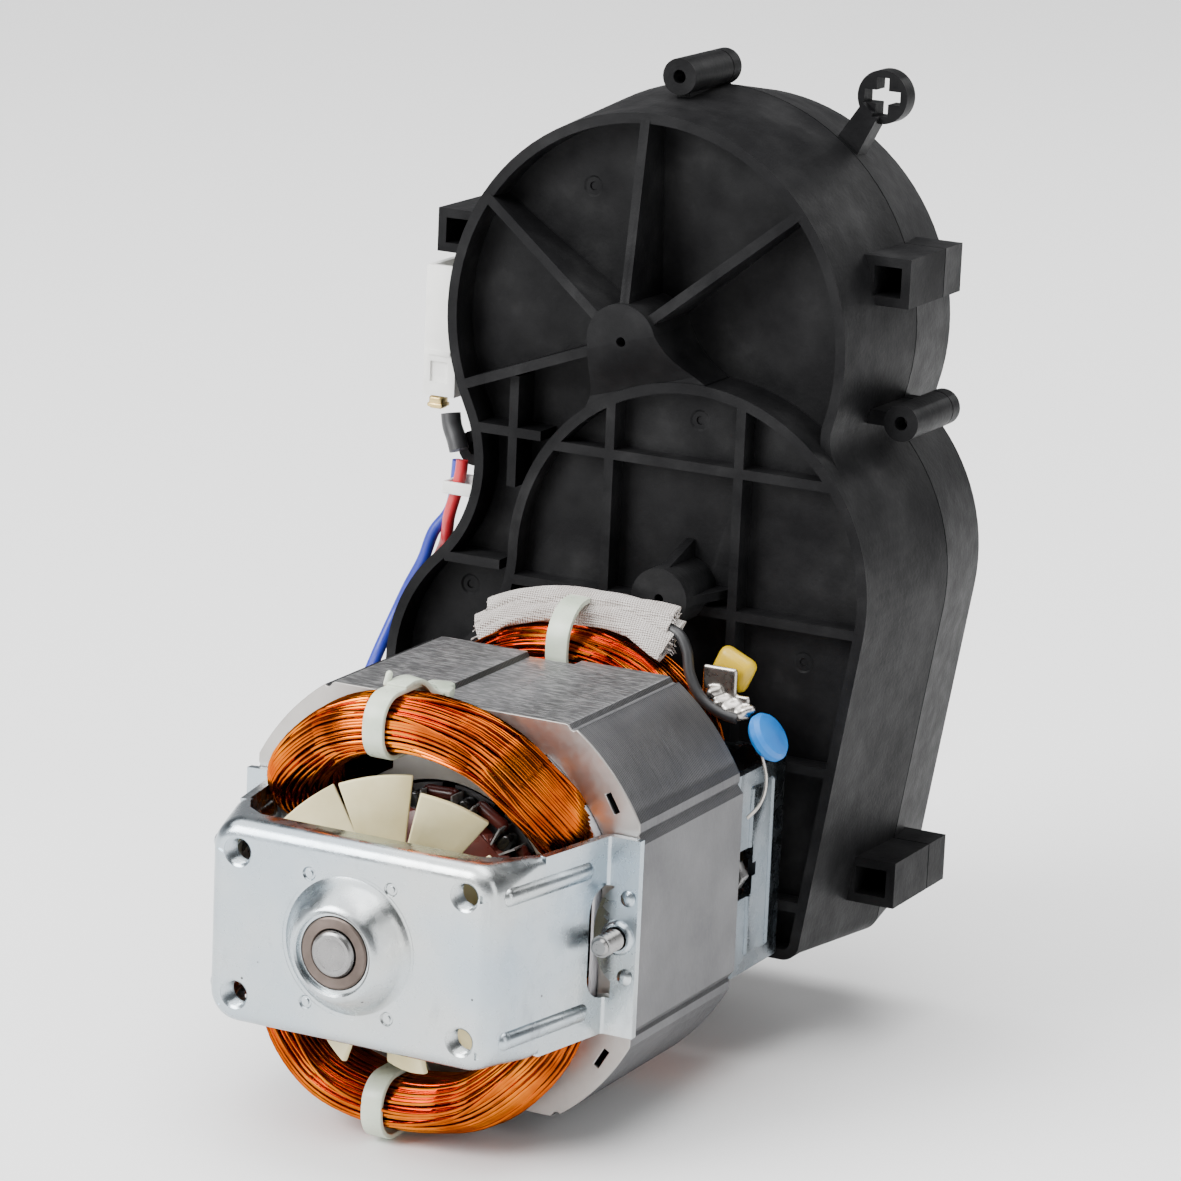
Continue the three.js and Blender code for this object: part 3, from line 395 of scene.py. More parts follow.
def bare_copper():
    n = Nodes("bare_copper", 0.3, 1.0)
    n.colour(n.ramp(n.noise(300, 3), (0.3, (0.52, 0.24, 0.12)), (0.7, (0.78, 0.42, 0.24))))
    n.normal(n.bump(n.noise(2200, 2, (0.3, 4, 0.3)), 0.02, 0.5))
    return n.material


# The plain finishes: darker colour, lighter colour, roughness and, for metals, how metallic.
PLAIN = {
    "varnished_winding": ((0.06, 0.01, 0.008), (0.16, 0.03, 0.02), 0.3),
    "gear_plastic": ((0.66, 0.60, 0.46), (0.78, 0.73, 0.60), 0.45),
    "fan_plastic": ((0.66, 0.57, 0.29), (0.80, 0.72, 0.43), 0.36),
    "tie_nylon": ((0.42, 0.49, 0.38), (0.58, 0.63, 0.52), 0.3),
    "insulating_paper": ((0.56, 0.55, 0.58), (0.70, 0.68, 0.70), 0.7),
    "steel": ((0.20, 0.197, 0.195), (0.30, 0.295, 0.29), 0.28, 1.0),
    "sintered_bronze": ((0.09, 0.07, 0.06), (0.19, 0.15, 0.13), 0.45, 0.9),
    "brass": ((0.50, 0.36, 0.14), (0.70, 0.54, 0.25), 0.32, 1.0),
    "carbon": ((0.02, 0.02, 0.022), (0.05, 0.05, 0.055), 0.55),
    "connector_nylon": ((0.72, 0.72, 0.69), (0.84, 0.84, 0.81), 0.35),
    "red_insulation": ((0.42, 0.012, 0.02), (0.60, 0.03, 0.04), 0.35),
    "blue_insulation": ((0.012, 0.022, 0.24), (0.03, 0.05, 0.42), 0.35),
    "black_insulation": ((0.01, 0.01, 0.011), (0.03, 0.03, 0.032), 0.42),
    "varistor_coating": ((0.002, 0.12, 0.44), (0.004, 0.19, 0.60), 0.45),
    "yellow_tape": ((0.47, 0.30, 0.006), (0.66, 0.45, 0.015), 0.36),
    "tinned_tag": ((0.33, 0.31, 0.28), (0.54, 0.51, 0.48), 0.28, 1.0),
}
materials = {name: plain_finish(name, *finish) for name, finish in PLAIN.items()}
for make in (black_plastic, zinc_steel, lamination_steel, enamelled_copper, braided_sleeving):
    materials[make.__name__] = make()

for part in frame["record"]["subparts"]:
    node = frame["nodes"][part["node"]]
    node.data.materials.clear()
    node.data.materials.append(materials[part["material_slot"]])


# ---------------------------------------------------------------- mesh tools
# Solids are drawn in millimetres; complete() turns one into a piece of the frame, in metres.
def skin(count, total, closed, base=0):
    """The faces between rings of `count` points; a closed run joins the last ring to the first."""
    faces = []
    for i in range(total if closed else total - 1):
        here, there = base + i * count, base + (i + 1) % total * count
        for j in range(count):
            k = (j + 1) % count
            faces.append((here + j, here + k, there + k, there + j))
    return faces


def solid(points, faces, weld=True):
    """An object whose faces all look outwards; points in the same place become one if welded."""
    mesh = bpy.data.meshes.new("solid")
    mesh.from_pydata([tuple(p) for p in points], [], faces)
    tidy = bmesh.new()
    tidy.from_mesh(mesh)
    if weld:
        bmesh.ops.remove_doubles(tidy, verts=tidy.verts, dist=1e-5)
    bmesh.ops.recalc_face_normals(tidy, faces=tidy.faces)
    tidy.to_mesh(mesh)
    tidy.free()
    return add("solid", mesh)


def ring_mesh(rings, closed=False):
    """A solid through rings of points, all with the same count; it has flat ends unless closed."""
    count, total = len(rings[0]), len(rings)
    faces = skin(count, total, closed)
    if not closed:
        faces.append(tuple(range(count)))
        faces.append(tuple(range(total * count - 1, (total - 1) * count - 1, -1)))
    return solid([p for ring in rings for p in ring], faces)


def extrude(outline, axis, low, high):
    """An outline pushed along an axis: (x, z) along y, (y, z) along x, or (x, y) along z."""
    lift = {
        "x": lambda u, v, t: (t, u, v),
        "y": lambda u, v, t: (u, t, v),
        "z": lambda u, v, t: (u, v, t),
    }[axis]
    return ring_mesh([[lift(u, v, t) for u, v in outline] for t in (low, high)])


def block(low, high):
    corners = [(low[0], low[2]), (high[0], low[2]), (high[0], high[2]), (low[0], high[2])]
    return extrude(corners, "y", low[1], high[1])


def arc(centre, radius, start, end, parts):
    """Points along an arc, in degrees."""
    steps = [math.radians(start + (end - start) * k / parts) for k in range(parts + 1)]
    return [(centre[0] + radius * math.cos(a), centre[1] + radius * math.sin(a)) for a in steps]


def rod(centre, radius, low, high, sides=40):
    return extrude(arc(centre, radius, 0, 360, sides)[:-1], "y", low, high)


def lathe(profile, centre=(0, 0), sides=64):
    """A closed profile of (radius, y) points, turned about the line along y through centre."""
    rings = []
    for k in range(sides):
        a = 2 * math.pi * k / sides
        c, s = math.cos(a), math.sin(a)
        rings.append([(centre[0] + r * c, y, centre[1] + r * s) for r, y in profile])
    return ring_mesh(rings, closed=True)


def apply(thing):
    """Bakes an object's modifiers into its mesh."""
    graph = bpy.context.evaluated_depsgraph_get()
    mesh = bpy.data.meshes.new_from_object(thing.evaluated_get(graph))
    old = thing.data
    thing.modifiers.clear()
    thing.data = mesh
    bpy.data.meshes.remove(old)
    return thing


def combine(base, tools, operation):
    tools = [t for item in tools for t in (item if isinstance(item, list) else [item])]
    group = bpy.data.collections.new("tools")
    for tool in tools:
        group.objects.link(tool)
    modifier = base.modifiers.new("boolean", "BOOLEAN")
    modifier.operation = operation
    modifier.solver = "MANIFOLD"
    modifier.operand_type = "COLLECTION"
    modifier.collection = group
    apply(base)
    for tool in tools:
        discard(tool)
    bpy.data.collections.remove(group)
    return base


def discard(thing):
    mesh = thing.data
    bpy.data.objects.remove(thing)
    bpy.data.meshes.remove(mesh)


def join(base, *tools):
    return combine(base, tools, "UNION")


def cut(base, *tools):
    return combine(base, tools, "DIFFERENCE")


def keep_inside(base, tool):
    return combine(base, [tool], "INTERSECT")


def soften(thing, width, segments=2, limit=32):
    """Rounds every edge that turns by more than `limit` degrees."""
    bevel = thing.modifiers.new("bevel", "BEVEL")
    bevel.width = width
    bevel.segments = segments
    bevel.limit_method = "ANGLE"
    bevel.angle_limit = math.radians(limit)
    bevel.use_clamp_overlap = True
    return apply(thing)


def complete(thing, name, body, slot, *nodes, smooth=34, material=None):
    """Makes a drawn solid a piece: in metres, with its finish, on its body, for its CAD nodes."""
    thing.name = name
    thing.data.name = name
    thing.data.transform(Matrix.Translation(ORIGIN) @ Matrix.Scale(MM, 4))
    thing.data.shade_smooth()
    thing.data.set_sharp_from_angle(angle=math.radians(smooth))
    thing.data.materials.clear()
    thing.data.materials.append(material or materials[slot])
    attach(thing, body)
    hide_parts(*nodes)


def belt(circles, inset=0.0, step=0.07):
    """The line of a belt round circles (x, z, r), anticlockwise; it bends inwards at a negative r."""
    count = len(circles)
    leave = []
    for i, (x, z, r) in enumerate(circles):
        x2, z2, r2 = circles[(i + 1) % count]
        ratio = max(-1.0, min(1.0, (r - r2) / math.hypot(x2 - x, z2 - z)))
        leave.append(math.atan2(z2 - z, x2 - x) - math.acos(ratio))
    points = []
    for i, (x, z, r) in enumerate(circles):
        start, bend = leave[i - 1], math.copysign(1, r)
        turn = (leave[i] - start) * bend
        while turn < -1e-6:
            turn += 2 * math.pi
        while turn > 2 * math.pi:
            turn -= 2 * math.pi
        parts = max(1, math.ceil(turn / step))
        for k in range(parts + 1):
            a = start + bend * turn * k / parts
            points.append((x + (r - inset) * math.cos(a), z + (r - inset) * math.sin(a)))
    return points


def rounded_box(half_x, half_z, r):
    turns = ((-1, -1), (1, -1), (1, 1), (-1, 1))
    return belt([(a * (half_x - r), b * (half_z - r), r) for a, b in turns], 0, 0.16)


# ---------------------------------------------------------------- gearbox
AXIS_FIRST = (-20.082, 20.082)
AXIS_SECOND = (12.558, 44.058)
AXIS_OUTPUT = (0.987, 88.321)
PARTING = 124.3
REAR_START, REAR_FLOOR, REAR_FACE, REAR_RIM = 124.6, 140.2, 142.2, 143.5
WALL, RIB = 1.9, 1.8
UPPER_RIM, UPPER_FLOOR, LOWER_RIM, LOWER_FLOOR = 97.0, 103.0, 93.0, 97.0
HUB_FACE, HUB_R = 88.5, 6.8
HUB_ARC = (16.4, 196.4)  # degrees; the flare takes the lower half of the hub
UPPER_ROOT, LOWER_ROOT = UPPER_FLOOR + 0.5, LOWER_FLOOR + 1  # how deep the ribs go into the floors
DRAFT_CENTRE = (0.0, 52.0)
MOTOR_SCREWS = [(-21.65, -12.5), (21.65, 12.5), (21.65, -12.5)]

upper_circle = (1.0, 88.3, 39.7)
lower_circle = (13.5, 45.9, 35.75)
wing_circle = (-19.0, 20.5, 30.0)
foot_left = (-33.0, -9.6, 11.0)
foot_right = (36.3, -17.1, 3.5)


def hollow(first, second, r):
    """The hollow circle that touches two round ones, on the right of the way between them."""
    (x1, z1, r1), (x2, z2, r2) = first, second
    distance = math.hypot(x2 - x1, z2 - z1)
    u, v = (x2 - x1) / distance, (z2 - z1) / distance
    along = ((r1 + r) ** 2 - (r2 + r) ** 2 + distance**2) / (2 * distance)
    aside = math.sqrt((r1 + r) ** 2 - along**2)
    return (x1 + u * along + v * aside, z1 + v * along - u * aside, -r)


housing = [
    upper_circle,
    hollow(upper_circle, wing_circle, 24),
    wing_circle,
    foot_left,
    foot_right,
    lower_circle,
    hollow(lower_circle, upper_circle, 8),
]
raised = [lower_circle, (-46.2, 46.5, -24), (-42, 18.2, 4), foot_left, foot_right]

# Lugs: the wall each grows from, its outer end and its height band.
LUGS = [
    (37.5, 46.7, 96.8, 105.6),
    (-36.5, -48.1, 95.8, 103.9),
    (40.5, 50.5, -12.8, -4.3),
    (-43, -51.6, -12.8, -4.3),
]
LUG_FRONT, LUG_REAR, LUG_WALL, LUG_DEPTH = 109.5, 132.0, 1.7, 12.5
# Screw bosses: the hole, and where its web meets the wall.
BOSSES = [
    ((0, 133.1), (0, 126.4)),
    ((46.7, 76.4), (38.6, 76.4)),
    ((-38.6, 60), (-33.2, 60)),
    ((12, -25.4), (12, -19.5)),
    ((-24, -25.4), (-24, -19.5)),
]
BOSS_R, BOSS_FRONT, COLLAR = 3.3, 109.0, 3.0
EYE, EYE_LOW, EYE_HIGH = (31.4, 130.7), 127.4, 131.0


def drafted(outline, low, scale_low, high, scale_high):
    """A prism along y whose section grows or shrinks about the draft centre."""
    cx, cz = DRAFT_CENTRE
    rings = [
        [(cx + (x - cx) * s, y, cz + (z - cz) * s) for x, z in outline]
        for y, s in ((low, scale_low), (high, scale_high))
    ]
    return ring_mesh(rings)


def lug_parts(low, high):
    return [block((min(w, e), low, z0), (max(w, e), high, z1)) for w, e, z0, z1 in LUGS]


def lug_sockets():
    tools = []
    for wall, end, z0, z1 in LUGS:
        outward = math.copysign(1, end - wall)
        x0, x1 = sorted((wall + outward * 2.2, end - outward * LUG_WALL))
        low = (x0, LUG_FRONT - 1, z0 + LUG_WALL)
        tools.append(block(low, (x1, LUG_FRONT + LUG_DEPTH, z1 - LUG_WALL)))
    return tools


def boss_webs(low, high):
    webs = []
    for (x, z), (rx, rz) in BOSSES:
        if abs(x - rx) > abs(z - rz):
            webs.append(block((min(x, rx), low, z - 1.3), (max(x, rx), high, z + 1.3)))
        else:
            webs.append(block((x - 1.3, low, min(z, rz)), (x + 1.3, high, max(z, rz))))
    return webs


def sloping_rib(degrees):
    """A rib in a plane through the upper hub, falling from the hub's face to the rim."""
    a = math.radians(degrees)
    along, aside = (math.cos(a), math.sin(a)), (-math.sin(a), math.cos(a))
    profile = [(4, UPPER_ROOT), (4, HUB_FACE + 0.6), (38.6, UPPER_RIM), (38.6, UPPER_ROOT)]
    cx, cz = AXIS_OUTPUT
    rings = [
        [(cx + r * along[0] + s * aside[0], y, cz + r * along[1] + s * aside[1]) for r, y in profile]
        for s in (-RIB / 2, RIB / 2)
    ]
    return ring_mesh(rings)


def hub_flare():
    """The lower half of the upper hub: it spreads, and falls to the rim of the lower block."""
    edges = [
        ((-5.53, 86.4), (7.51, 90.25)),
        ((-5.65, 84.8), (8.2, 89.0)),
        ((-5.8, 82.9), (9.1, 87.4)),
        ((-6.0, 80.8), (10.2, 85.9)),
        ((-6.4, 78.8), (11.7, 84.3)),
        ((-7.0, 76.8), (13.5, 82.9)),
        ((-7.9, 74.6), (15.6, 81.7)),
    ]
    (hx, hz), (bx, bz) = AXIS_OUTPUT, lower_circle[:2]
    length = math.hypot(bx - hx, bz - hz)

    def face(x, z):
        away = ((x - hx) * (bx - hx) + (z - hz) * (bz - hz)) / length
        share = min(1.0, max(0.0, away / 8.4))
        return HUB_FACE + (LOWER_RIM + 0.2 - HUB_FACE) * share**1.5

    rows = []
    for (x0, z0), (x1, z1) in edges:
        across = [(x0 + (x1 - x0) * k / 6, z0 + (z1 - z0) * k / 6) for k in range(7)]
        rows.append([(x, face(x, z), z) for x, z in across] + [(x, 104, z) for x, z in across[::-1]])
    return ring_mesh(rows)


def ejector_marks():
    """The shallow dimples that the mould's pins leave in the recessed floors."""
    places = [
        ((-13.1, 112.7), UPPER_FLOOR),
        ((13.2, 74.4), LOWER_FLOOR),
        ((-35, 35.9), UPPER_FLOOR),
        ((35.8, 33.6), LOWER_FLOOR),
    ]
    dimple = [(0, 0.5), (0.7, 0.5), (0.8, 0.2), (1.6, 0.24), (2.0, -0.02), (2.0, -1), (0, -1)]
    return [lathe([(r, floor + y) for r, y in dimple], at, 32) for at, floor in places]


def outside_parts(bosses, lugs, webs):
    """The screw bosses, the lugs and the bosses' webs, each from and to the given depths."""
    first, *others = [rod(at, BOSS_R, *bosses) for at, _ in BOSSES]
    return join(first, others, lug_parts(*lugs), boss_webs(*webs))


def upper_ribs():
    """The upper hub with its four sloping ribs, and the short ribs of the left pocket."""
    ribs = join(
        extrude(arc(AXIS_OUTPUT, HUB_R, *HUB_ARC, 40), "y", HUB_FACE, 104),
        [sloping_rib(d) for d in (147, 92, 40.5, 201)],
        hub_flare(),
        block((-25.2, UPPER_RIM, 57), (-23.4, UPPER_ROOT, 77.5)),
        block((-33, UPPER_RIM, 66.2), (-18.6, UPPER_ROOT, 68)),
        block((-37.5, UPPER_RIM, 41.2), (-26, UPPER_ROOT, 43)),
    )
    return keep_inside(ribs, extrude(belt(housing, 0.6), "y", 80, 104))


def lower_grid():
    grid = join(
        block((-3.5, LOWER_RIM, -20), (-1.7, LOWER_ROOT, 82)),
        block((22.2, LOWER_RIM, -20), (24, LOWER_ROOT, 82)),
        [
            block((-45, LOWER_RIM, z - RIB / 2), (49, LOWER_ROOT, z + RIB / 2))
            for z in (66.8, 41, 15.2, -10.5)
        ],
    )
    return keep_inside(grid, extrude(belt(raised, 0.6), "y", 80, 99))


def lower_hub():
    """The lower hub, with a gusset above it and one to its right."""
    x, z = AXIS_SECOND
    gusset = [(86.2, 0), (86.2, 5.2), (97.4, 8.9), (97.4, 0)]
    hub = join(
        rod(AXIS_SECOND, 5.5, 85, 98),
        extrude([(y, z + r) for y, r in gusset], "x", x - 0.8, x + 0.8),
        extrude([(x + r, y) for y, r in gusset], "z", z - 0.8, z + 0.8),
    )
    return cut(hub, rod(AXIS_SECOND, 0.9, 80, 91, 20))


def front_shell():
    shell = drafted(belt(housing), UPPER_RIM, 1.0, PARTING, 1.032)
    join(shell, extrude(belt(raised), "y", LOWER_RIM, UPPER_RIM + 4))
    dish = extrude(belt(housing, WALL), "y", 90, UPPER_FLOOR)
    cut(dish, extrude(belt(raised), "y", 89, UPPER_FLOOR + 1))
    cut(shell, dish)
    cut(shell, extrude(belt(raised, WALL), "y", 90, LOWER_FLOOR))
    cavity = join(
        extrude(belt(housing, WALL + 0.2), "y", UPPER_FLOOR + WALL, PARTING + 1),
        extrude(belt(raised, WALL + 0.2), "y", LOWER_FLOOR + WALL, PARTING + 1),
    )
    cut(shell, cavity)
    ribs, grid, hub = upper_ribs(), lower_grid(), lower_hub()
    outside = outside_parts((BOSS_FRONT, PARTING), (LUG_FRONT, PARTING), (BOSS_FRONT + 2, PARTING))
    cut(outside, extrude(belt(housing, WALL + 0.2), "y", 100, PARTING + 2))
    join(shell, ribs, grid, hub, outside)
    cut(
        shell,
        lug_sockets(),
        [rod(at, 1.25, 100, 130, 20) for at, _ in BOSSES],
        rod((0, 0), 9.6, 80, 101),
        rod(AXIS_OUTPUT, 0.9, 80, 93, 20),
        [rod(at, 1.9, 85, 103, 20) for at in MOTOR_SCREWS],
        ejector_marks(),
    )
    soften(shell, 0.32)
    complete(shell, "gearbox_front", "housing", "black_plastic", "gearbox_front_shell")


def rear_rib(centre, degrees, start, end):
    a = math.radians(degrees)
    cx, cz = centre
    corners = [(start, -RIB / 2), (end, -RIB / 2), (end, RIB / 2), (start, RIB / 2)]
    along, aside = (math.cos(a), math.sin(a)), (-math.sin(a), math.cos(a))
    outline = [(cx + d * along[0] + s * aside[0], cz + d * along[1] + s * aside[1]) for d, s in corners]
    return extrude(outline, "y", REAR_FACE - 0.5, REAR_RIM)


def eyelet():
    """The eye on its stem, before its hole is cut."""
    stem = [(22.8, 121.6), (26.4, 117.4), (31.2, 127), (28.2, 129.6)]
    return join(
        rod(EYE, 4.85, EYE_LOW, EYE_HIGH, 48),
        extrude(stem, "y", EYE_LOW - 1.4, EYE_HIGH - 0.4),
    )


def eye_cross():
    """The eye's cross-shaped hole."""
    arms = ((3.5, 1.2), (1.2, 3.5))
    low, high, (x, z) = EYE_LOW - 3, EYE_HIGH + 1, EYE
    return [block((x - a, low, z - b), (x + a, high, z + b)) for a, b in arms]


def rear_shell():
    shell = drafted(belt(housing), REAR_START, 1.032, REAR_RIM, 0.99)
    cavity = extrude(belt(housing, WALL + 0.2), "y", REAR_START - 1, REAR_FLOOR)
    cut(shell, cavity, extrude(belt(housing, 2.6), "y", REAR_FACE, REAR_RIM + 1))
    ribs = join(
        rod(AXIS_OUTPUT, 13.5, REAR_FACE - 0.5, REAR_RIM, 64),
        [rod(at, 6, REAR_FACE - 0.5, REAR_RIM) for at in (AXIS_FIRST, AXIS_SECOND)],
        [rear_rib(AXIS_OUTPUT, d, 12, 36.5) for d in range(0, 360, 60)],
        [rear_rib(AXIS_SECOND, d, 5, 50) for d in (200, 255, 300, 345)],
    )
    keep_inside(ribs, extrude(belt(housing, 1.5), "y", 100, 150))
    collar = (REAR_START, REAR_START + COLLAR)
    outside = outside_parts(collar, (REAR_START, LUG_REAR), collar)
    join(outside, eyelet())
    cut(outside, extrude(belt(housing, WALL + 0.2), "y", REAR_START - 1, REAR_FLOOR))
    join(shell, ribs, outside)
    cut(
        shell,
        rod(AXIS_OUTPUT, 8.75, 120, 150, 64),
        [rod(at, 1.5, 120, 132, 20) for at, _ in BOSSES],
        eye_cross(),
    )
    soften(shell, 0.32)
    complete(shell, "gearbox_rear", "housing", "black_plastic", "gearbox_rear_shell")


front_shell()
rear_shell()


# ---------------------------------------------------------------- swept and bent shapes
def drawn(node):
    """A CAD node's box, in the drawing's millimetres."""
    low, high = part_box(node)
    return (low - ORIGIN) / MM, (high - ORIGIN) / MM


def smooth_path(points, steps, closed=False):
    """Evenly spaced points on a smooth curve through the given ones."""
    given = [Vector(p) for p in points]
    count = len(given)

    def at(i):
        return given[i % count] if closed else given[min(max(i, 0), count - 1)]

    dense = []
    for i in range(count if closed else count - 1):
        a, b, c, d = at(i - 1), at(i), at(i + 1), at(i + 2)
        for k in range(16):
            t = k / 16
            square, cube = (2 * a - 5 * b + 4 * c - d) * t**2, (3 * b - a - 3 * c + d) * t**3
            dense.append(0.5 * (2 * b + (c - a) * t + square + cube))
    dense.append(given[0] if closed else given[-1])
    travelled = [0.0]
    for p, q in zip(dense, dense[1:]):
        travelled.append(travelled[-1] + (q - p).length)
    path, j = [], 0
    for k in range(steps if closed else steps + 1):
        target = travelled[-1] * k / steps
        while j < len(dense) - 2 and travelled[j + 1] < target:
            j += 1
        share = (target - travelled[j]) / max(1e-9, travelled[j + 1] - travelled[j])
        path.append(dense[j].lerp(dense[j + 1], share))
    return path


def frames(path, closed, lean):
    """The two cross directions at each point of a path; the first follows lean(p), where given."""
    count, made, normal = len(path), [], Vector((0.1, 0.25, 1))
    for i, p in enumerate(path):
        before = path[i - 1] if closed or i else p
        after = path[(i + 1) % count] if closed or i + 1 < count else p
        along = (after - before).normalized()
        wish = lean(p) if lean else normal
        normal = (wish - along * wish.dot(along)).normalized()
        made.append((normal, along.cross(normal)))
    return made


def sweep(path, section, lean=None):
    """Carries section(share of the way) -> (out, aside) points along a path."""
    last = len(path) - 1
    rings = [
        [p + out * u + aside * v for u, v in section(i / last)]
        for i, (p, (out, aside)) in enumerate(zip(path, frames(path, False, lean)))
    ]
    return ring_mesh(rings)


def oval(out, aside, sides):
    angles = [2 * math.pi * k / sides for k in range(sides)]
    return [(out * math.cos(a), aside * math.sin(a)) for a in angles]


def tube(points, radius, steps, sides=14):
    return sweep(smooth_path(points, steps), lambda share: oval(radius, radius, sides))


def capsule(start, end, radius, sides=20):
    """A round-ended bar."""
    start, end = Vector(start), Vector(end)
    along = (end - start).normalized()
    path, radii = [], []
    for k in range(6):
        a = math.radians(4 + 86 * k / 5)
        path.append(start - along * radius * math.cos(a))
        radii.append(radius * math.sin(a))
    path += [end + (start - p) for p in reversed(path)]
    radii += radii[::-1]
    last = len(path) - 1

    def section(share):
        here = radii[round(share * last)]
        return oval(here, here, sides)

    return sweep(path, section)


def rounded_line(points, radii, parts=7):
    """A run of points in a plane, with each inner corner rounded."""
    line = [Vector(points[0])]
    for before, at, after, radius in zip(points, points[1:], points[2:], radii):
        at = Vector(at)
        back, on = (Vector(before) - at).normalized(), (Vector(after) - at).normalized()
        half = back.angle(on) / 2
        centre = at + (back + on).normalized() * radius / math.sin(half)
        first = at + back * radius / math.tan(half) - centre
        last = at + on * radius / math.tan(half) - centre
        turn = math.atan2(first.x * last.y - first.y * last.x, first.dot(last))
        for k in range(parts + 1):
            c, s = math.cos(turn * k / parts), math.sin(turn * k / parts)
            line.append(centre + Vector((first.x * c - first.y * s, first.x * s + first.y * c)))
    return line + [Vector(points[-1])]


def thicken(line, thickness):
    """The outline of a strip of even thickness about a line."""
    left, right = [], []
    for i, p in enumerate(line):
        along = (line[min(i + 1, len(line) - 1)] - line[max(i - 1, 0)]).normalized()
        away = Vector((-along.y, along.x)) * thickness / 2
        left.append(p + away)
        right.append(p - away)
    return left + right[::-1]


def mirrored(thing):
    """A copy on the other side of the motor's axis."""
    copy = add("solid", thing.data.copy())
    copy.data.transform(Matrix.Scale(-1, 4, (1, 0, 0)))
    copy.data.flip_normals()
    return copy


def tilted(thing, degrees, axis):
    thing.data.transform(Matrix.Rotation(math.radians(degrees), 4, axis))
    return thing


def turned(thing, degrees):
    """Turns a solid about the motor's axis, anticlockwise from the front."""
    return tilted(thing, -degrees, "Y")


def moved(thing, x, y, z):
    thing.data.transform(Matrix.Translation((x, y, z)))
    return thing


def merge(*things):
    """One object from several that don't touch, or may overlap unseen."""
    tidy = bmesh.new()
    for thing in things:
        tidy.from_mesh(thing.data)
    for thing in things[1:]:
        discard(thing)
    tidy.to_mesh(things[0].data)
    tidy.free()
    return things[0]


def melted(thing):
    """Runs the pieces of a solid into one another."""
    flow = thing.modifiers.new("flow", "REMESH")
    flow.mode = "VOXEL"
    flow.voxel_size = 0.22
    even = thing.modifiers.new("even", "SMOOTH")
    even.iterations = 9
    return apply(thing)


# ---------------------------------------------------------------- front bracket and bearing
SHEET = 1.5
FACE_HALF_Z = 18.0
TAPPED = [(a * 21.65, b * 12.5) for a in (1, -1) for b in (1, -1)]
BOLT_X, BOLT_HOLE_R = 34.8, 2.1
FOOT_FRONT = STATOR_FRONT - 0.3 - SHEET
ARM_LEAN = 4.87 / 26.8  # how far the arms spread for each millimetre back


def arm_x(y):
    """The outer face of the right arm."""
    return 27.0 + ARM_LEAN * y


# The middle of the right arm's sheet, seen from above, with its foot.
ARM_LINE = rounded_line(
    [(arm_x(13.5) - 0.76, 13.5), (31.87, FOOT_FRONT + SHEET / 2), (38.3, FOOT_FRONT + SHEET / 2)],
    [1.4],
)
ARM_HALF_Z = 17.35


def tray(inset, front, back, bend):
    """A rounded box that leans out to the arms; its front edge is bent to a radius."""
    def ring(y, tuck):
        sharper = 3.8 * min(1.0, max(0.0, (y - 2.5) / 9))
        half_x = arm_x(max(y, 2.5)) - inset - tuck
        half_z = FACE_HALF_Z - 0.045 * y - inset - tuck
        corner = max(0.35, 5.4 - sharper - inset - tuck)
        return [(x, y, z) for x, z in rounded_box(half_x, half_z, corner)]

    rings = []
    for k in range(8):
        a = math.radians(90 * k / 7)
        rings.append(ring(front + bend * (1 - math.cos(a)), bend * (1 - math.sin(a))))
    side = front + bend
    rings += [ring(side + (back - side) * k / 8, 0) for k in range(1, 9)]
    return ring_mesh(rings)


def thread(radius, low, high, pitch, depth, entry=0.0):
    """The profile of a threaded rod, as rings; `entry` widens its mouth."""
    profile, y = [(0, low)], low
    if entry:
        profile += [(radius + entry, low), (radius + entry, low + 0.4), (radius + 0.1, low + 0.4 + entry)]
        y = low + 0.4 + entry
    while y < high - pitch:
        profile += [(radius, y + 0.02), (radius - depth, y + pitch / 2)]
        y += pitch
    return profile + [(radius, high), (0, high)]


def bracket_arm():
    """The right arm with its foot, its ear, its two ribs and its rivet heads."""
    arm = extrude(thicken(ARM_LINE, SHEET), "z", -ARM_HALF_Z, ARM_HALF_Z)
    foot = [(32.6, -17.2), (37.3, -17.2), (38.3, -16.2), (38.3, 16.4), (37.3, 17.4), (32.6, 17.4)]
    join(arm, extrude(foot, "y", FOOT_FRONT, FOOT_FRONT + SHEET))
    cut(arm, extrude(belt([(30, -6.5, 4.4), (30, 4.5, 4.4)]), "x", 24, 33.8))
    ear = [(35.2 + u, 0.3 + v) for u, v in oval(4.9, 8.6, 40)]
    rivet = [(0, 29.5), (0.9, 29.6), (1.4, 29.95), (1.5, 30.6), (0, 30.6)]
    seat = [(0, 29.3), (2.5, 29.3), (2.9, 29.6), (3.2, 30.4), (0, 30.6)]
    ribs = [[(arm_x(y) - 0.8, y, z) for y in (4.6, 24.6)] for z in (12.4, -12.4)]
    join(
        arm,
        extrude([p for p in ear if p[0] < 37.5], "y", FOOT_FRONT, FOOT_FRONT + SHEET),
        [capsule(start, end, 1.8) for start, end in ribs],
        [lathe(rivet, (36.5, z), 24) for z in (7.1, -6.7)],
        lathe(seat, (BOLT_X, 0), 32),
    )
    return cut(arm, rod((BOLT_X, 0), BOLT_HOLE_R, 20, 40, 32))


def bracket_marks():
    """Four stamped rings round the dome, and four nicks at the bends to the arms."""
    stamp = [(0.6, -0.5), (0.6, 0.3), (1.0, 0.34), (1.25, 0.1), (1.25, -0.5)]
    marks = [lathe(stamp, (x, z), 24) for x in (7.8, -7.8) for z in (11.2, -11.2)]
    for z in (12.6, -14.4):
        for s in (1, -1):
            marks.append(extrude([(24.5 * s, z - 0.75), (26.6 * s, z), (24.5 * s, z + 0.75)], "y", -1, 0.5))
    return marks


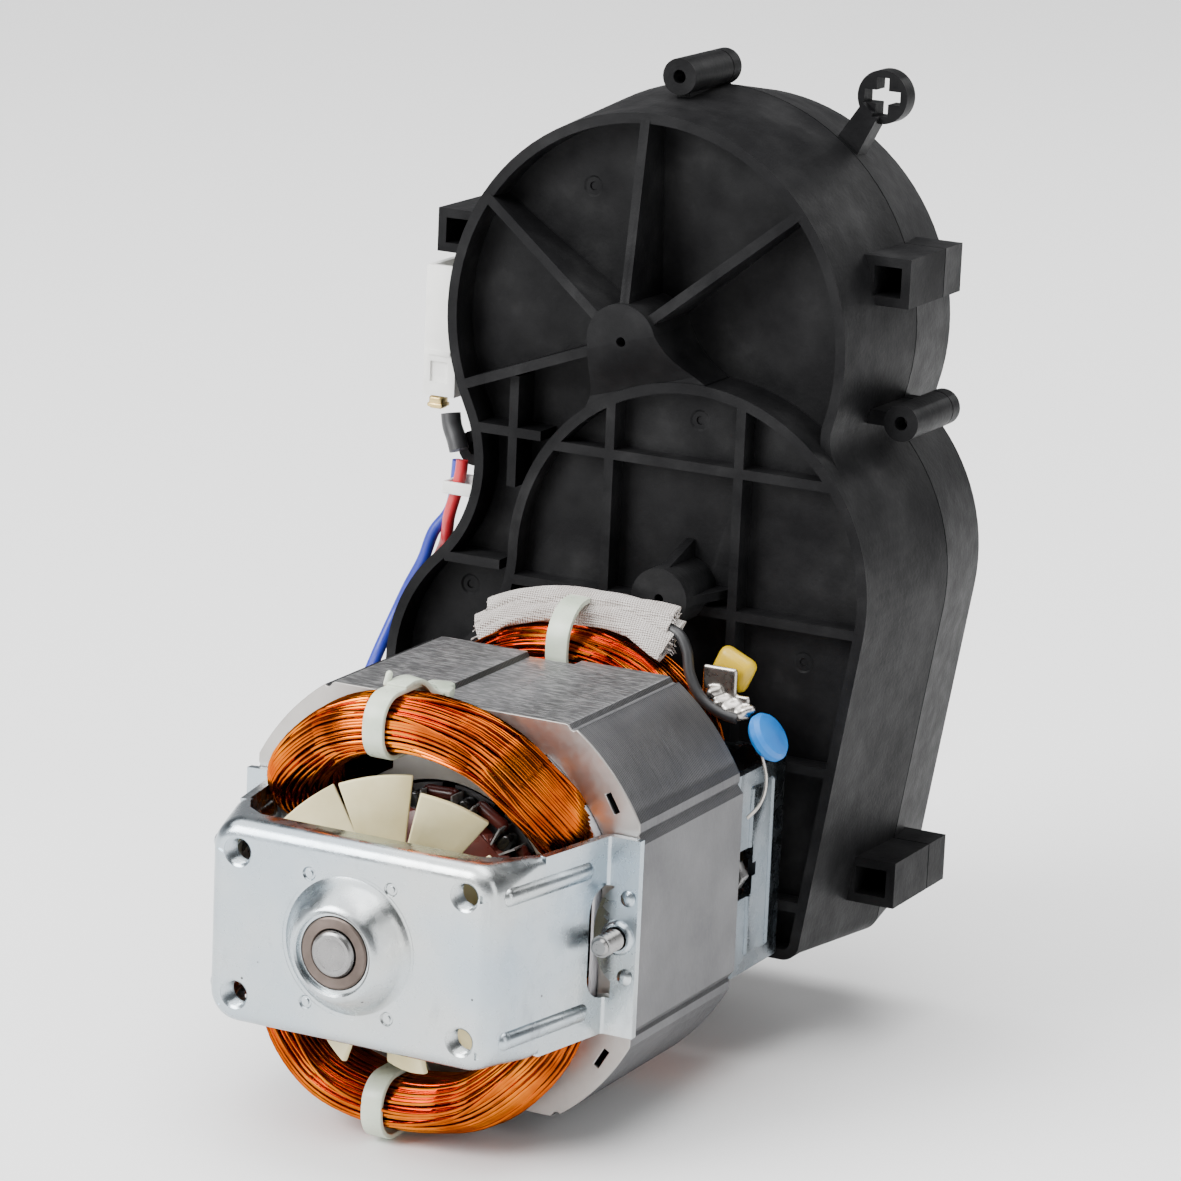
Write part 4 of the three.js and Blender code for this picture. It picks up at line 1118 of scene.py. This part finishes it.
def front_bracket():
    face = cut(tray(0, 0, 14.2, 3.0), tray(SHEET, SHEET, 15, 1.5))
    mouth = [(21, 6.2), (25, 9.2), (27.4, 13.4), (27.4, 20)]
    cut(face, extrude([(-x, y) for x, y in mouth[::-1]] + mouth, "z", -30, 30))
    arm = bracket_arm()
    lip = [(0, -4.4), (6.9, -4.4), (6.95, -5.1), (7.3, -5.4), (7.8, -5.3), (8.5, -4.6), (9.3, -3.6)]
    slope = [(10.1, -2.4), (10.8, -1.3), (11.3, -0.5), (11.9, -0.02), (11.9, 0.4), (0, 0.4)]
    dome = lathe(lip + slope, (0, 0), 96)
    marks = bracket_marks()
    join(face, arm, mirrored(arm), dome, [rod(at, 3.7, 0.6, 3.6, 32) for at in TAPPED])
    groove = [(12.0, -0.2), (12.0, 0.06), (12.3, 0.12), (12.6, 0.06), (12.6, -0.2)]
    cut(face, rod((0, 0), 6.4, -10, 6, 64), lathe(groove, (0, 0), 80), marks)
    soften(face, 0.22, 2, 38)
    cut(face, [lathe(thread(2.6, -0.4, 5, 0.8, 0.45, 0.1), at, 32) for at in TAPPED])
    complete(face, "front_bracket_steel", "housing", "zinc_steel", "front_bracket")


def front_bearing():
    bush = lathe([(4.2, -4.55), (4.35, -4.7), (5.9, -4.75), (6.2, -4.55), (6.2, 4), (4.2, 4)], (0, 0), 72)
    complete(bush, "front_bearing", "housing", "sintered_bronze", "front_bush")
    end, r = -5.45, 4.0
    nose = [(0, end), (2.6, end), (2.7, end + 0.03), (2.8, end), (3.35, end), (3.75, end + 0.2)]
    rest = [(r, end + 0.6), (r, 103.5), (3.7, 103.7), (2.1, 103.7), (2.1, 112.6), (0, 112.8)]
    complete(lathe(nose + rest, (0, 0), 72), "shaft", "rotor", "steel", "rotor_shaft", smooth=20)


def bolts():
    for side, s in (("right", 1), ("left", -1)):
        at = (s * BOLT_X, 0)
        tip = [(0, 23.4), (1.2, 23.4), (1.55, 23.8), (1.55, 24)]
        shank = lathe(tip + thread(1.9, 24, 31, 1.2, 0.6)[1:-1] + [(1.7, 72), (0, 72)], at, 24)
        hexagon = extrude(arc(at, 2.9, 0, 360, 6)[:-1], "y", 72.4, 75.0)
        cut(hexagon, block((at[0] - 2.2, 74.2, -0.35), (at[0] + 2.2, 76, 0.35)))
        bolt = merge(shank, soften(hexagon, 0.25))
        complete(bolt, "bolt_" + side, "housing", "steel", "through_bolt_" + side)


def pan_screw(at, seat, way, radius, shank, tip):
    """A pan-head screw along y, its head on the `way` side of the seat, with a cross recess."""
    x, z = at
    dome = [(0, 2.0), (0.35, 1.98), (0.7, 1.75), (0.93, 1.2), (1.0, 0.5), (0.98, 0.05), (0, 0)]
    head = lathe([(share * radius, seat + way * rise) for share, rise in dome], at, 36)
    deep = sorted((seat + way * 0.9, seat + way * 2.4))
    arms = [(radius * 0.58, 0.32), (0.32, radius * 0.58)]
    cut(head, [block((x - a, deep[0], z - b), (x + a, deep[1], z + b)) for a, b in arms])
    turns = lathe(thread(shank, *sorted((tip, seat + way * 0.3)), 0.9, 0.2), at, 20)
    return merge(soften(head, 0.08), turns)


def screws():
    for i, (at, _) in enumerate(BOSSES):
        screw = pan_screw(at, REAR_START + COLLAR + 0.3, 1, 2.7, 1.1, 113)
        complete(screw, f"case_screw_{i + 1}", "housing", "steel", f"shell_screw_{i + 1}")
    for i, at in enumerate(MOTOR_SCREWS):
        screw = pan_screw(at, 90.9, -1, 3.0, 1.5, 101)
        complete(screw, f"flange_screw_{i + 1}", "housing", "steel", f"motor_screw_{i + 1}")


def rear_bracket():
    line = rounded_line([(31.4, 71.35), (35.75, 71.35), (35.75, 91.95), (26, 91.95)], [1.4, 2.4])
    arm = extrude(thicken(line, SHEET), "z", -18.5, 18.5)
    join(arm, [capsule((36.2, y, -15), (36.2, y, 15), 0.7, 12) for y in (77.2, 85.5)])
    cut(arm, block((31.8, 72.1, -4.5), (40, 78.6, 4.5)), rod((BOLT_X, 0), BOLT_HOLE_R, 60, 80, 24))
    plate = extrude(rounded_box(34.5, 18, 4), "y", 91.2, 92.7)
    join(plate, arm, mirrored(arm), rod((0, 0), 9, 91.2, 97.6, 48))
    cut(
        plate,
        extrude(belt([(85.6, 4.4, 4), (85.6, 10.4, 4)]), "x", -40, -33),
        rod((0, 0), 6.4, 80, 110, 48),
        [rod(at, 1.9, 80, 95, 20) for at in MOTOR_SCREWS],
    )
    # A darkened copy of the zinc: painted shade on the rear bracket, which stands in shade behind the
    # stator.
    zinc_with_painted_shade = zinc_steel("painted_shade_zinc", 0.42)
    soften(plate, 0.25)
    complete(plate, "rear_bracket_steel", "housing", "zinc_steel", "rear_bracket", material=zinc_with_painted_shade)


# ---------------------------------------------------------------- stator
def stator_outline():
    """The stack's outline with, for each point, how deep the joints between sheets are there."""
    quarter = [(37.9, 0, 0.012), (37.9, 16.2, 0.012), (37.3, 16.9, 0.06), (36.8, 17.6, 0.08)]
    quarter += [(37.1, 18.2, 0.03)]
    parts = 14
    for k, (x, z) in enumerate(arc((0, 0), 41.95, 28.0, 54.25, parts)):
        quarter.append((x, z, 0.03 if k < 2 or k == parts else 0.12))
    quarter += [(23.9, 33.75, 0.05), (23.4, 33.9, 0.13), (22.8, 34.7, 0.13), (22.2, 34.8, 0.06)]
    quarter += [(14, 34.8, 0.05), (5.4, 34.8, 0.1), (4.9, 33.9, 0.1), (0, 33.9, 0.04)]
    top = quarter + [(-x, z, d) for x, z, d in quarter[-2::-1]]
    return top + [(x, -z, d) for x, z, d in top[-2:0:-1]]


def slot_outline(inset=0.0):
    r, w, h = 34.5 - inset, 30.5 - inset, 28.8 - inset
    start, end = math.degrees(math.acos(w / r)), math.degrees(math.asin(h / r))
    quarter = [(w, 0)] + arc((0, 0), r, start, end, 12) + [(0, h)]
    top = quarter + [(-x, z) for x, z in quarter[-2::-1]]
    return top + [(x, -z) for x, z in top[-2:0:-1]]


def stator_tools(low, high):
    """What is left out of each sheet, and the poles that stand in the middle of it."""
    space = extrude(slot_outline(), "y", low - 1, high + 1)
    horn = arc((0, 0), 23.9, 30, 150, 30) + arc((0, 0), 20, 150, 30, 30)
    poles = join(
        extrude(horn, "y", low - 0.5, high + 0.5),
        extrude([(x, -z) for x, z in horn], "y", low - 0.5, high + 0.5),
        block((-10.5, low - 0.5, 19), (10.5, high + 0.5, 30)),
        block((-10.5, low - 0.5, -30), (10.5, high + 0.5, -19)),
    )
    cut(space, poles)
    tools = [space, rod((0, 0), 21, low - 1, high + 1, 96)]
    tools += [rod((s * BOLT_X, 0), BOLT_HOLE_R, low - 1, high + 1, 24) for s in (1, -1)]
    for a in (1, -1):
        for b in (1, -1):
            line = [Vector((30.9 * a, 24.1 * b)), Vector((32.8 * a, 20.9 * b))]
            tools.append(extrude(thicken(line, 1.1), "y", low - 1, high + 1))
    return tools


def stator():
    outline = stator_outline()
    start = SHEETS_START
    each = (STATOR_BACK - start) / SHEETS
    rings = []
    for k in range(SHEETS):
        for share, inset in ((0.0, 1.0), (0.25, 0.0), (0.8, 0.0)):
            y = start + (k + share) * each
            ragged = random.uniform(-0.35, 0.35)
            ring = []
            for x, z, depth in outline:
                scale = 1 - depth * (inset + 0.25 * ragged) / math.hypot(x, z)
                ring.append((x * scale, y, z * scale))
            rings.append(ring)
    rings.append([(x, STATOR_BACK, z) for x, z, _ in outline])
    stack = cut(ring_mesh(rings), stator_tools(start, STATOR_BACK))
    complete(stack, "stator_stack", "housing", "lamination_steel", "stator_core", smooth=25)
    first = extrude([(x, z) for x, z, _ in outline], "y", STATOR_FRONT, start)
    cut(first, stator_tools(STATOR_FRONT, start))
    soften(first, 0.1, 1, 38)
    sheet = stamped_steel()
    complete(first, "stator_first_sheet", "housing", "lamination_steel", "stator_core", material=sheet)


def slot_liners():
    for side, s in (("right", 1), ("left", -1)):
        sheet = extrude(slot_outline(0.3), "y", STATOR_FRONT - 1.8, STATOR_BACK + 1.8)
        cut(sheet, extrude(slot_outline(0.75), "y", 20, 90))
        keep_inside(sheet, block((min(12 * s, 60 * s), 0, -40), (max(12 * s, 60 * s), 100, 40)))
        complete(sheet, "liner_" + side, "housing", "insulating_paper", "slot_liner_" + side)


# ---------------------------------------------------------------- field coils
WIRE_R, WIRE_SIDES = 0.4, 6
STRAIGHT_HALF, LOOSE_HALF = (3.7, 5.2), (4.7, 7.7)  # the bundle's half height and width
CORE_SHARE = 0.8
OUTER_WIRES, INNER_WIRES, CROSSING_WIRES = 46, 34, 7
COIL_STEPS = 132
COIL_MIDDLE = (STATOR_FRONT + STATOR_BACK) / 2
COIL_HALF = [(-24.4, 44, 15.6), (-25.0, 31.5, 16.2), (-22.4, 24.2, 23.2), (-13.2, 22.2, 30.8)]
CROWN = (0, 22, 33.4)


def coil_path(sign):
    front = COIL_HALF + [CROWN] + [(-x, y, z) for x, y, z in COIL_HALF[::-1]]
    back = [(x, STATOR_FRONT + STATOR_BACK - y, z) for x, y, z in front[::-1]]
    return smooth_path([(x, y, sign * z) for x, y, z in front + back], COIL_STEPS, closed=True)


def from_axis(p):
    """The way from the motor's axis to a point."""
    return Vector((p.x, 0, p.z))


def even_angles(half_out, half_aside, count):
    """The angles of evenly spaced points round an ellipse."""
    fine = 720
    travelled = [0.0]
    for k in range(fine):
        a = 2 * math.pi * (k + 0.5) / fine
        travelled.append(travelled[-1] + math.hypot(half_out * math.sin(a), half_aside * math.cos(a)))
    angles, j = [], 0
    for k in range(count):
        while travelled[j] < travelled[-1] * k / count:
            j += 1
        angles.append(2 * math.pi * j / fine)
    return angles


def coil(name, sign, node):
    """A bundle of wires round a core: the outer ones drift a little, and a few cross the others."""
    path = coil_path(sign)
    ways = frames(path, True, from_axis)
    shape = []
    for p in path:
        loose = min(1.0, max(0.0, (abs(p.y - COIL_MIDDLE) - 16) / 9))
        shape.append([a + (b - a) * loose for a, b in zip(STRAIGHT_HALF, LOOSE_HALF)])
    vertices, faces = [], []

    def add_wire(angle, depth, drift, wobble):
        points = []
        for i, (p, (out, aside), (half_out, half_aside)) in enumerate(zip(path, ways, shape)):
            share = 2 * math.pi * i / COIL_STEPS
            a = angle + drift * math.sin(share + wobble) + 0.05 * math.sin(3 * share + 5 * wobble)
            d = depth + 0.035 * math.sin(2 * share + 3 * wobble) + 0.02 * math.sin(7 * share + wobble)
            points.append(p + out * (half_out * d * math.cos(a)) + aside * (half_aside * d * math.sin(a)))
        faces.extend(skin(WIRE_SIDES, COIL_STEPS, True, len(vertices)))
        for p, (out, aside) in zip(points, frames(points, True, from_axis)):
            vertices.extend(p + out * u + aside * v for u, v in oval(WIRE_R, WIRE_R, WIRE_SIDES))

    for angle in even_angles(*LOOSE_HALF, OUTER_WIRES):
        drift = 0.34 + random.uniform(-0.06, 0.06)
        depth = 0.96 + random.uniform(-0.03, 0.03)
        add_wire(angle, depth, drift, random.uniform(-0.15, 0.15))
    for angle in even_angles(4.0, 6.6, INNER_WIRES):
        add_wire(angle, 0.84, 0.25, random.uniform(-0.5, 0.5))
    for k in range(CROSSING_WIRES):
        angle = 0.9 * k + random.uniform(0, 0.5)
        drift = random.uniform(0.7, 1.0)
        add_wire(angle, 1.05, drift, random.uniform(0, 6))
    core = [
        [p + out * u + aside * v for u, v in oval(half_out * CORE_SHARE, half_aside * CORE_SHARE, 20)]
        for p, (out, aside), (half_out, half_aside) in zip(path, ways, shape)
    ]
    bundle = merge(solid(vertices, faces, weld=False), ring_mesh(core, closed=True))
    complete(bundle, name, "housing", "enamelled_copper", node, smooth=60)


TIE_WIDTH, TIE_THICK = 4.0, 0.9


def tie_band(half_y, half_z, low, high):
    """A band in the (y, z) plane round the middle of a coil's end turns."""
    def loop(grow):
        y, z = half_y + grow, half_z + grow
        r = min(y, z) - 0.6
        return belt([(y - r, z - r, r), (r - y, z - r, r), (r - y, r - z, r), (y - r, r - z, r)], 0, 0.2)

    band = extrude(loop(TIE_THICK), "x", low, high)
    return soften(cut(band, extrude(loop(0), "x", low - 1, high + 1)), 0.28, 3)


def ties():
    half_y, half_z = 7.9, 5.0
    upper = moved(tie_band(half_y, half_z, -6.2, -6.2 + TIE_WIDTH), 0, CROWN[1], CROWN[2])
    line = [(-4.2, 21, 39.2), (-4.0, 24, 39.7), (-3.4, 26.5, 39.4), (-2.4, 28.6, 37.9), (-0.6, 30.2, 36.8)]
    flat = [(0.5, -2), (0.5, 2), (-0.5, 2), (-0.5, -2)]
    strap = sweep(smooth_path(line, 22), lambda _: flat, lean=lambda _: Vector((0, 0, 1)))
    soften(strap, 0.2)
    flag = [(-5.6, 29.4), (-5.0, 34.6), (-1.6, 35.6), (-0.2, 34.6), (-0.6, 33.2), (0.8, 32.4), (1.6, 29.2)]
    head = soften(extrude(flag, "z", 35.4, 37.6), 0.4, 2)
    pip = capsule((-6.6, 22, 39.3), (-6.4, 22.4, 40.9), 0.6)
    complete(merge(upper, strap, head, pip), "tie_upper", "housing", "tie_nylon", "front_upper_tie")
    lower = moved(tie_band(half_y, half_z, -4, -4 + TIE_WIDTH), 0, CROWN[1], -CROWN[2])
    complete(lower, "tie_lower", "housing", "tie_nylon", "front_lower_tie")
    # The rear tie goes round the braided sleeve as well.
    back = tie_band(half_y + 0.4, half_z + 2.4, -2.4, 1.8)
    moved(back, 0, STATOR_FRONT + STATOR_BACK - CROWN[1], CROWN[2] + 2.0)
    complete(back, "tie_rear", "housing", "tie_nylon", "rear_tie")


# ---------------------------------------------------------------- rotor
SLOTS = 12
SLOT_STEP = 360 / SLOTS
CORE_R = 20.3
END_TURNS = (
    ("front_end_turns", "rotor_front_winding", 25.8, 31.6, -1),
    ("rear_end_turns", "rotor_rear_winding", 69.6, 76.4, 1),
)


def rotor_core():
    outline = []
    for k in range(SLOTS):
        start, end = SLOT_STEP * k + 3.5, SLOT_STEP * (k + 1) - 3.5
        outline += arc((0, 0), CORE_R, start, end, 6)
        outline += arc((0, 0), CORE_R - 2, end, end + 7, 2)
    core = cut(extrude(outline, "y", 33, 69.3), rod((0, 0), 4.5, 20, 80, 32))
    complete(core, "rotor_stack", "rotor", "lamination_steel", "rotor_core")


def rotor_front():
    """What shows between the fan and the core: coated teeth, slot paper and varnished wire."""
    finger = [
        (7, -1.6), (16.6, -1.5), (18.3, -1.3), (19.4, -0.6), (19.6, 0.3), (19.1, 1.1), (17.6, 1.5), (7, 1.6),
    ]
    cup = [(19.6, -3.0), (16, -3.2), (13, -2.3), (11.8, 0), (13, 2.3), (16, 3.2), (19.6, 3.0)]
    fold = thicken(rounded_line(cup, [1.5, 2, 1.6, 2, 1.5], 4), 0.3)
    teeth, papers, wires = [], [], []
    for k in range(SLOTS):
        tooth = soften(extrude(finger, "y", 29.6, 32.8), 0.9, 3)
        teeth.append(turned(tooth, SLOT_STEP * (k + 0.5)))
        papers.append(turned(extrude(fold, "y", 28.6, 32.8), SLOT_STEP * k))
        wire = capsule((19.0, 31.4, -2.4), (19.0, 31.6, 2.4), 1.1)
        wires.append(turned(wire, SLOT_STEP * k + random.uniform(-2, 2)))
    for name, parts, slot, material in (
        ("tooth_coating", teeth, "black_plastic", black_varnish()),
        ("slot_paper", papers, "insulating_paper", grey_paper()),
        ("slot_varnish", wires, "varnished_winding", None),
    ):
        complete(merge(*parts), name, "rotor", slot, "rotor_front_winding", material=material)


def end_turns(name, node, low, high, way):
    """Loops of wire over the end of the core; `way` is 1 where they bulge backwards."""
    reach, count = 1.9, 2 * SLOTS
    rise = (high - low) / 2 - 1.5
    loops = []
    for k in range(count):
        points = []
        for j in range(-2, 3):
            t = 2 * math.pi * k / count + reach * j / 4
            far = 17.4 - 6.5 * math.cos(j * 0.62) ** 2 + random.uniform(-0.4, 0.4)
            y = (low + high) / 2 + rise * math.cos(j * 1.2) * way
            points.append((far * math.cos(t), y, far * math.sin(t)))
        loops.append(tube(points, 1.05, 14, 8))
    filling = [(4.6, low + 0.6), (13, low + 0.9), (16.4, low + 2.6), (16.8, high - 0.4), (4.6, high)]
    loops.append(lathe(filling, (0, 0), 48))
    complete(merge(*loops), name, "rotor", "varnished_winding", node)


def commutator():
    outline = []
    for k in range(SLOTS):
        start = SLOT_STEP * k
        outline += arc((0, 0), 10.5, start + 1.2, start + 28.8, 6)
        outline += arc((0, 0), 9.2, start + 28.8, start + 30, 1)
    drum = cut(extrude(outline, "y", 77, 89.5), rod((0, 0), 4.5, 70, 95, 32))
    soften(drum, 0.12, 1)
    bare = bare_copper()
    complete(drum, "commutator_drum", "rotor", "enamelled_copper", "commutator", material=bare)


def cooling_fan():
    petals, middle, phase, pitch = 10, 14.75, -8.75, 31
    made = []
    for k in range(petals):
        tip = [(25.0 + 0.6 * math.cos(math.pi * s / 2), 6.35 * s) for s in (-1, -0.6, -0.2, 0.2, 0.6, 1)]
        petal = soften(extrude([(8, -2.6)] + tip + [(8, 2.6)], "z", -0.55, 0.55), 0.3, 3)
        # The petal's own x is radial and its y runs across it; it is stood up, then pitched.
        tilted(tilted(petal, 90, "X"), pitch, "X")
        made.append(moved(turned(petal, phase + 360 * k / petals), 0, middle, 0))
    front, back = middle - 4.5, middle + 4.5
    hub = lathe([(4.5, front), (9.2, front), (10, middle - 3.7), (10, back), (4.5, back)])
    complete(join(hub, *made), "fan", "rotor", "fan_plastic", "cooling_fan")


# ---------------------------------------------------------------- sleeve, wire and suppressor parts
SLEEVE_LEAN = Vector((0, -0.75, 0.65))
FAR_BRAID = [
    (-18.5, 80.6, 38.6), (-12, 80.8, 41.4), (-3, 81, 42.8),
    (6, 81, 43.2), (13, 80.8, 42.8), (18, 80.6, 42),
]
NEAR_BRAID = [
    (-20, 79, 35), (-13.6, 79.2, 38.4), (-4, 79.4, 40.6),
    (6, 79.5, 40.8), (13, 79.2, 39.8), (18.4, 78.8, 38.2),
]


def braid_section(share, scale, half_width, opening, creases):
    """A flattened, crumpled tube that flares at both ends."""
    flare = 1 + opening * max(0.0, share - 0.8) / 0.2 + 0.25 * max(0.0, 0.12 - share) / 0.12
    points = []
    for k in range(36):
        a = 2 * math.pi * k / 36
        crumple = 1 + 0.09 * math.sin(3 * a + creases[0] + 9 * share)
        crumple += 0.06 * math.sin(5 * a + 23 * share + creases[1])
        fold = 1 - 0.22 * math.exp(-((math.sin(a - 0.5) / 0.12) ** 2)) * (math.cos(a) > 0)
        thick, wide = 1.3 * scale * crumple * fold, half_width * flare * scale * crumple
        points.append((thick * math.cos(a), wide * math.sin(a)))
    return points


def frayed_end(end, way):
    """Loose threads at the end of a braid."""
    threads = []
    for _ in range(14):
        start = end + Vector((0, random.uniform(-1.4, 1.4), random.uniform(-1.6, 1.6))) - way * 0.6
        stray = Vector((random.uniform(-0.2, 0.2), random.uniform(-0.4, 0.4), random.uniform(-0.5, 0.5)))
        threads.append(tube([start, start + way * 0.8, start + way * 1.3 + stray], 0.09, 5, 5))
    return threads


def braided_sleeve():
    """Two flattened lengths of braid over the rear end turns; the near one hangs open on the right."""
    pieces = []
    for line, half_width, opening in ((FAR_BRAID, 1.9, 0.35), (NEAR_BRAID, 2.3, 0.9)):
        path = smooth_path(line, 90)
        creases = [random.uniform(0, 6) for _ in range(2)]
        longer = [path[0] * 2 - path[1]] + path + [path[-1] * 2 - path[-2]]
        outer, inner = (
            sweep(
                run,
                lambda share: braid_section(share, scale, half_width, opening, creases),
                lean=lambda _: SLEEVE_LEAN,
            )
            for run, scale in ((path, 1.0), (longer, 0.74))
        )
        pieces.append(cut(outer, inner))
        for end, way in ((path[0], path[0] - path[2]), (path[-1], path[-1] - path[-3])):
            pieces += frayed_end(end, way.normalized())
    complete(merge(*pieces), "sleeve", "housing", "braided_sleeving", "braided_sleeve")


def suppressor_wire():
    wire = [
        (17.2, 80, 40.6), (19.8, 79.6, 39.6), (21.6, 79, 37), (22.6, 78.4, 33.4),
        (25, 78, 29.8), (28.6, 78, 27.6), (32.2, 78.4, 26.8),
    ]
    complete(tube(wire, 1.0, 60), "suppressor_wire", "housing", "black_insulation", "black_wire")


def varistor():
    low, high = drawn("varistor")
    centre = (low + high) / 2
    half = [(0, 1.75), (2.6, 1.7), (3.9, 1.3), (4.5, 0.5)]
    disc = lathe([(r, -y) for r, y in half] + half[::-1], (0, 0), 48)
    moved(tilted(tilted(disc, 90, "X"), 55, "Y"), *centre)
    neck = capsule(centre + Vector((-0.9, -1.8, 0.6)), centre + Vector((-0.5, -2.4, -0.9)), 0.6)
    complete(merge(disc, neck), "varistor_disc", "housing", "varistor_coating", "varistor")
    lead = [
        (37.2, 77.4, 23.4), (37.9, 77.1, 21.5), (39.0, 76.8, 18.2),
        (39.2, 76.2, 15.2), (38.6, 75, 12.6), (37.4, 73.4, 10.8),
    ]
    complete(tube(lead, 0.33, 40, 10), "varistor_wire", "housing", "tinned_tag", "varistor_lead")


def suppressor():
    """The taped part, and its tag with the solder."""
    low, high = drawn("taped_suppressor")
    size = high - low
    tape = tilted(soften(block(-size / 2, size / 2), 1.5, 4), 24, "Y")
    moved(tape, *((low + high) / 2))
    complete(tape, "suppressor", "housing", "yellow_tape", "taped_suppressor")
    low, high = drawn("solder_tag")
    tag = soften(block((low.x, low.y, low.z + 2.4), (high.x, high.y, high.z)), 0.2)
    wing = soften(block((high.x - 1, low.y, low.z), (high.x + 2.6, high.y, low.z + 3.2)), 0.2)
    drops = [(28.6, 28.6, 1.5), (30.4, 27.7, 1.7), (32.4, 27.4, 1.3), (27.0, 30.4, 1.1), (33.6, 28.2, 0.8)]
    lumps = []
    for x, z, r in drops:
        lumps.append(capsule((x - 0.4, low.y - 0.4, z), (x + 0.5, low.y + 0.2, z + 0.3), r))
    complete(melted(merge(tag, wing, *lumps)), "solder_joint", "housing", "tinned_tag", "solder_tag")


# ---------------------------------------------------------------- connector and leads
def connector():
    low, high = drawn("connector_housing")
    x0, x1 = high.x - 6.6, high.x
    y0, y1, z0, z1 = low.y, high.y, low.z, high.z
    wall = 1.2
    latch = [(x0 + 0.2, y0 + 2), (x0 - 1.4, y0 + 3), (x0 - 1.4, y0 + 5), (x0 + 0.2, y0 + 7)]
    body = join(
        block((x0, y0, z0), (x1, y1, z1)),
        extrude(latch, "z", 78.5, 82),
        block((x0 - 0.35, y0 + 0.6, z0 + 1), (x0 + 0.2, y0 + 1.5, z1 - 1)),
        block((x0 - 0.35, y1 - 1.5, z0 + 1), (x0 + 0.2, y1 - 0.6, z1 - 1)),
        block((x0 + 1, y0 - 0.35, z0 + 7.6), (x1 - 1, y0 + 0.2, z0 + 8.6)),
    )
    cut(
        body,
        block((x0 + wall, y0 + wall, z1 - 12), (x1 - wall, y1 - wall, z1 + 1)),
        block((x0 + 1.4, y0 - 1, z0 + 2.6), (x1 - 1.6, y0 + 0.5, z0 + 6.4)),
        [block((x, y0 + 2.2, z0 - 1), (x + 2.0, y0 + 4.6, z0 + 2)) for x in (x0 + 0.9, x0 + 3.9)],
    )
    complete(soften(body, 0.28), "connector", "housing", "connector_nylon", "connector_housing")


def crimp():
    low, high = drawn("crimp_terminal")
    barrel = soften(block(low, high), 0.5, 3)
    waist_low = (low.x - 0.2, low.y - 0.2, low.z + 0.3)
    waist = block(waist_low, (high.x + 0.2, high.y + 0.2, low.z + 1.1))
    complete(merge(barrel, soften(waist, 0.3)), "crimp", "housing", "brass", "crimp_terminal")


def clip():
    low, high = drawn("lead_clip")
    low.x = high.x - 7.4
    high.z = low.z + 2.3
    wall = 0.8
    room = block((low.x + wall, low.y + wall, low.z - 1), (high.x - 2.2, high.y - wall, high.z + 1))
    body = soften(cut(block(low, high), room), 0.3, 3)
    complete(body, "clip", "housing", "connector_nylon", "lead_clip")


def leads():
    cover = [(-43.2, 108, 66.2), (-42.6, 107.6, 64), (-41.3, 107, 61.8), (-40.4, 106.6, 59.8)]
    complete(tube(cover, 1.85, 24, 20), "lead_cover", "housing", "black_insulation", "lead_sleeve")
    red = [
        (-38.9, 105.2, 58.4), (-39, 105, 56), (-39.9, 105, 52), (-41.2, 105.2, 47.6),
        (-42.4, 106.8, 44), (-44.2, 109.2, 40.8), (-47.2, 110.8, 35.6), (-51.6, 111.8, 27),
        (-54, 109.4, 18.4), (-53.6, 103, 11.4), (-49.4, 94.6, 7), (-43.6, 88.6, 4.8),
        (-38, 85.2, 4), (-33.8, 84, 2), (-32.2, 83.6, 0.6),
    ]
    blue = [
        (-41.6, 108.6, 57.4), (-41.8, 108.6, 54), (-42.2, 108.5, 50), (-43.2, 108.2, 47),
        (-45.6, 107.4, 43.4), (-47.2, 106.6, 38), (-49.8, 106.2, 32.6), (-52, 105.4, 27),
        (-53.4, 101.4, 19.8), (-52.4, 95.4, 15), (-48.8, 90.2, 12.4), (-43.4, 87, 10.6),
        (-37, 85.2, 10.2), (-32, 83.4, 11.6), (-29.8, 81.6, 14.6),
    ]
    complete(tube(red, 1.15, 150), "lead_red", "housing", "red_insulation", "red_lead")
    complete(tube(blue, 1.15, 150), "lead_blue", "housing", "blue_insulation", "blue_lead")


def refine(node, width):
    """A CAD solid again, with its flat faces whole and its edges softened."""
    source = bpy.data.objects[node]
    copy = add("solid", source.data.copy())
    copy.data.transform(source.matrix_world)
    copy.data.transform(Matrix.Scale(1 / MM, 4) @ Matrix.Translation(-ORIGIN))
    flat = bmesh.new()
    flat.from_mesh(copy.data)
    bmesh.ops.remove_doubles(flat, verts=flat.verts, dist=1e-4)
    bmesh.ops.dissolve_limit(flat, angle_limit=math.radians(1), verts=flat.verts, edges=flat.edges)
    flat.to_mesh(copy.data)
    flat.free()
    return soften(copy, width)


def brush_gear():
    for side in ("right", "left"):
        for kind, slot, width in (("brush_holder_", "brass", 0.2), ("brush_", "carbon", 0.25)):
            node = kind + side
            complete(refine(node, width), node + "_piece", "housing", slot, node)


front_bracket()
front_bearing()
bolts()
screws()
rear_bracket()
stator()
slot_liners()
coil("coil_upper", 1, "upper_field_coil")
coil("coil_lower", -1, "lower_field_coil")
ties()
rotor_core()
rotor_front()
for end in END_TURNS:
    end_turns(*end)
commutator()
cooling_fan()
braided_sleeve()
suppressor_wire()
varistor()
suppressor()
connector()
crimp()
clip()
leads()
brush_gear()
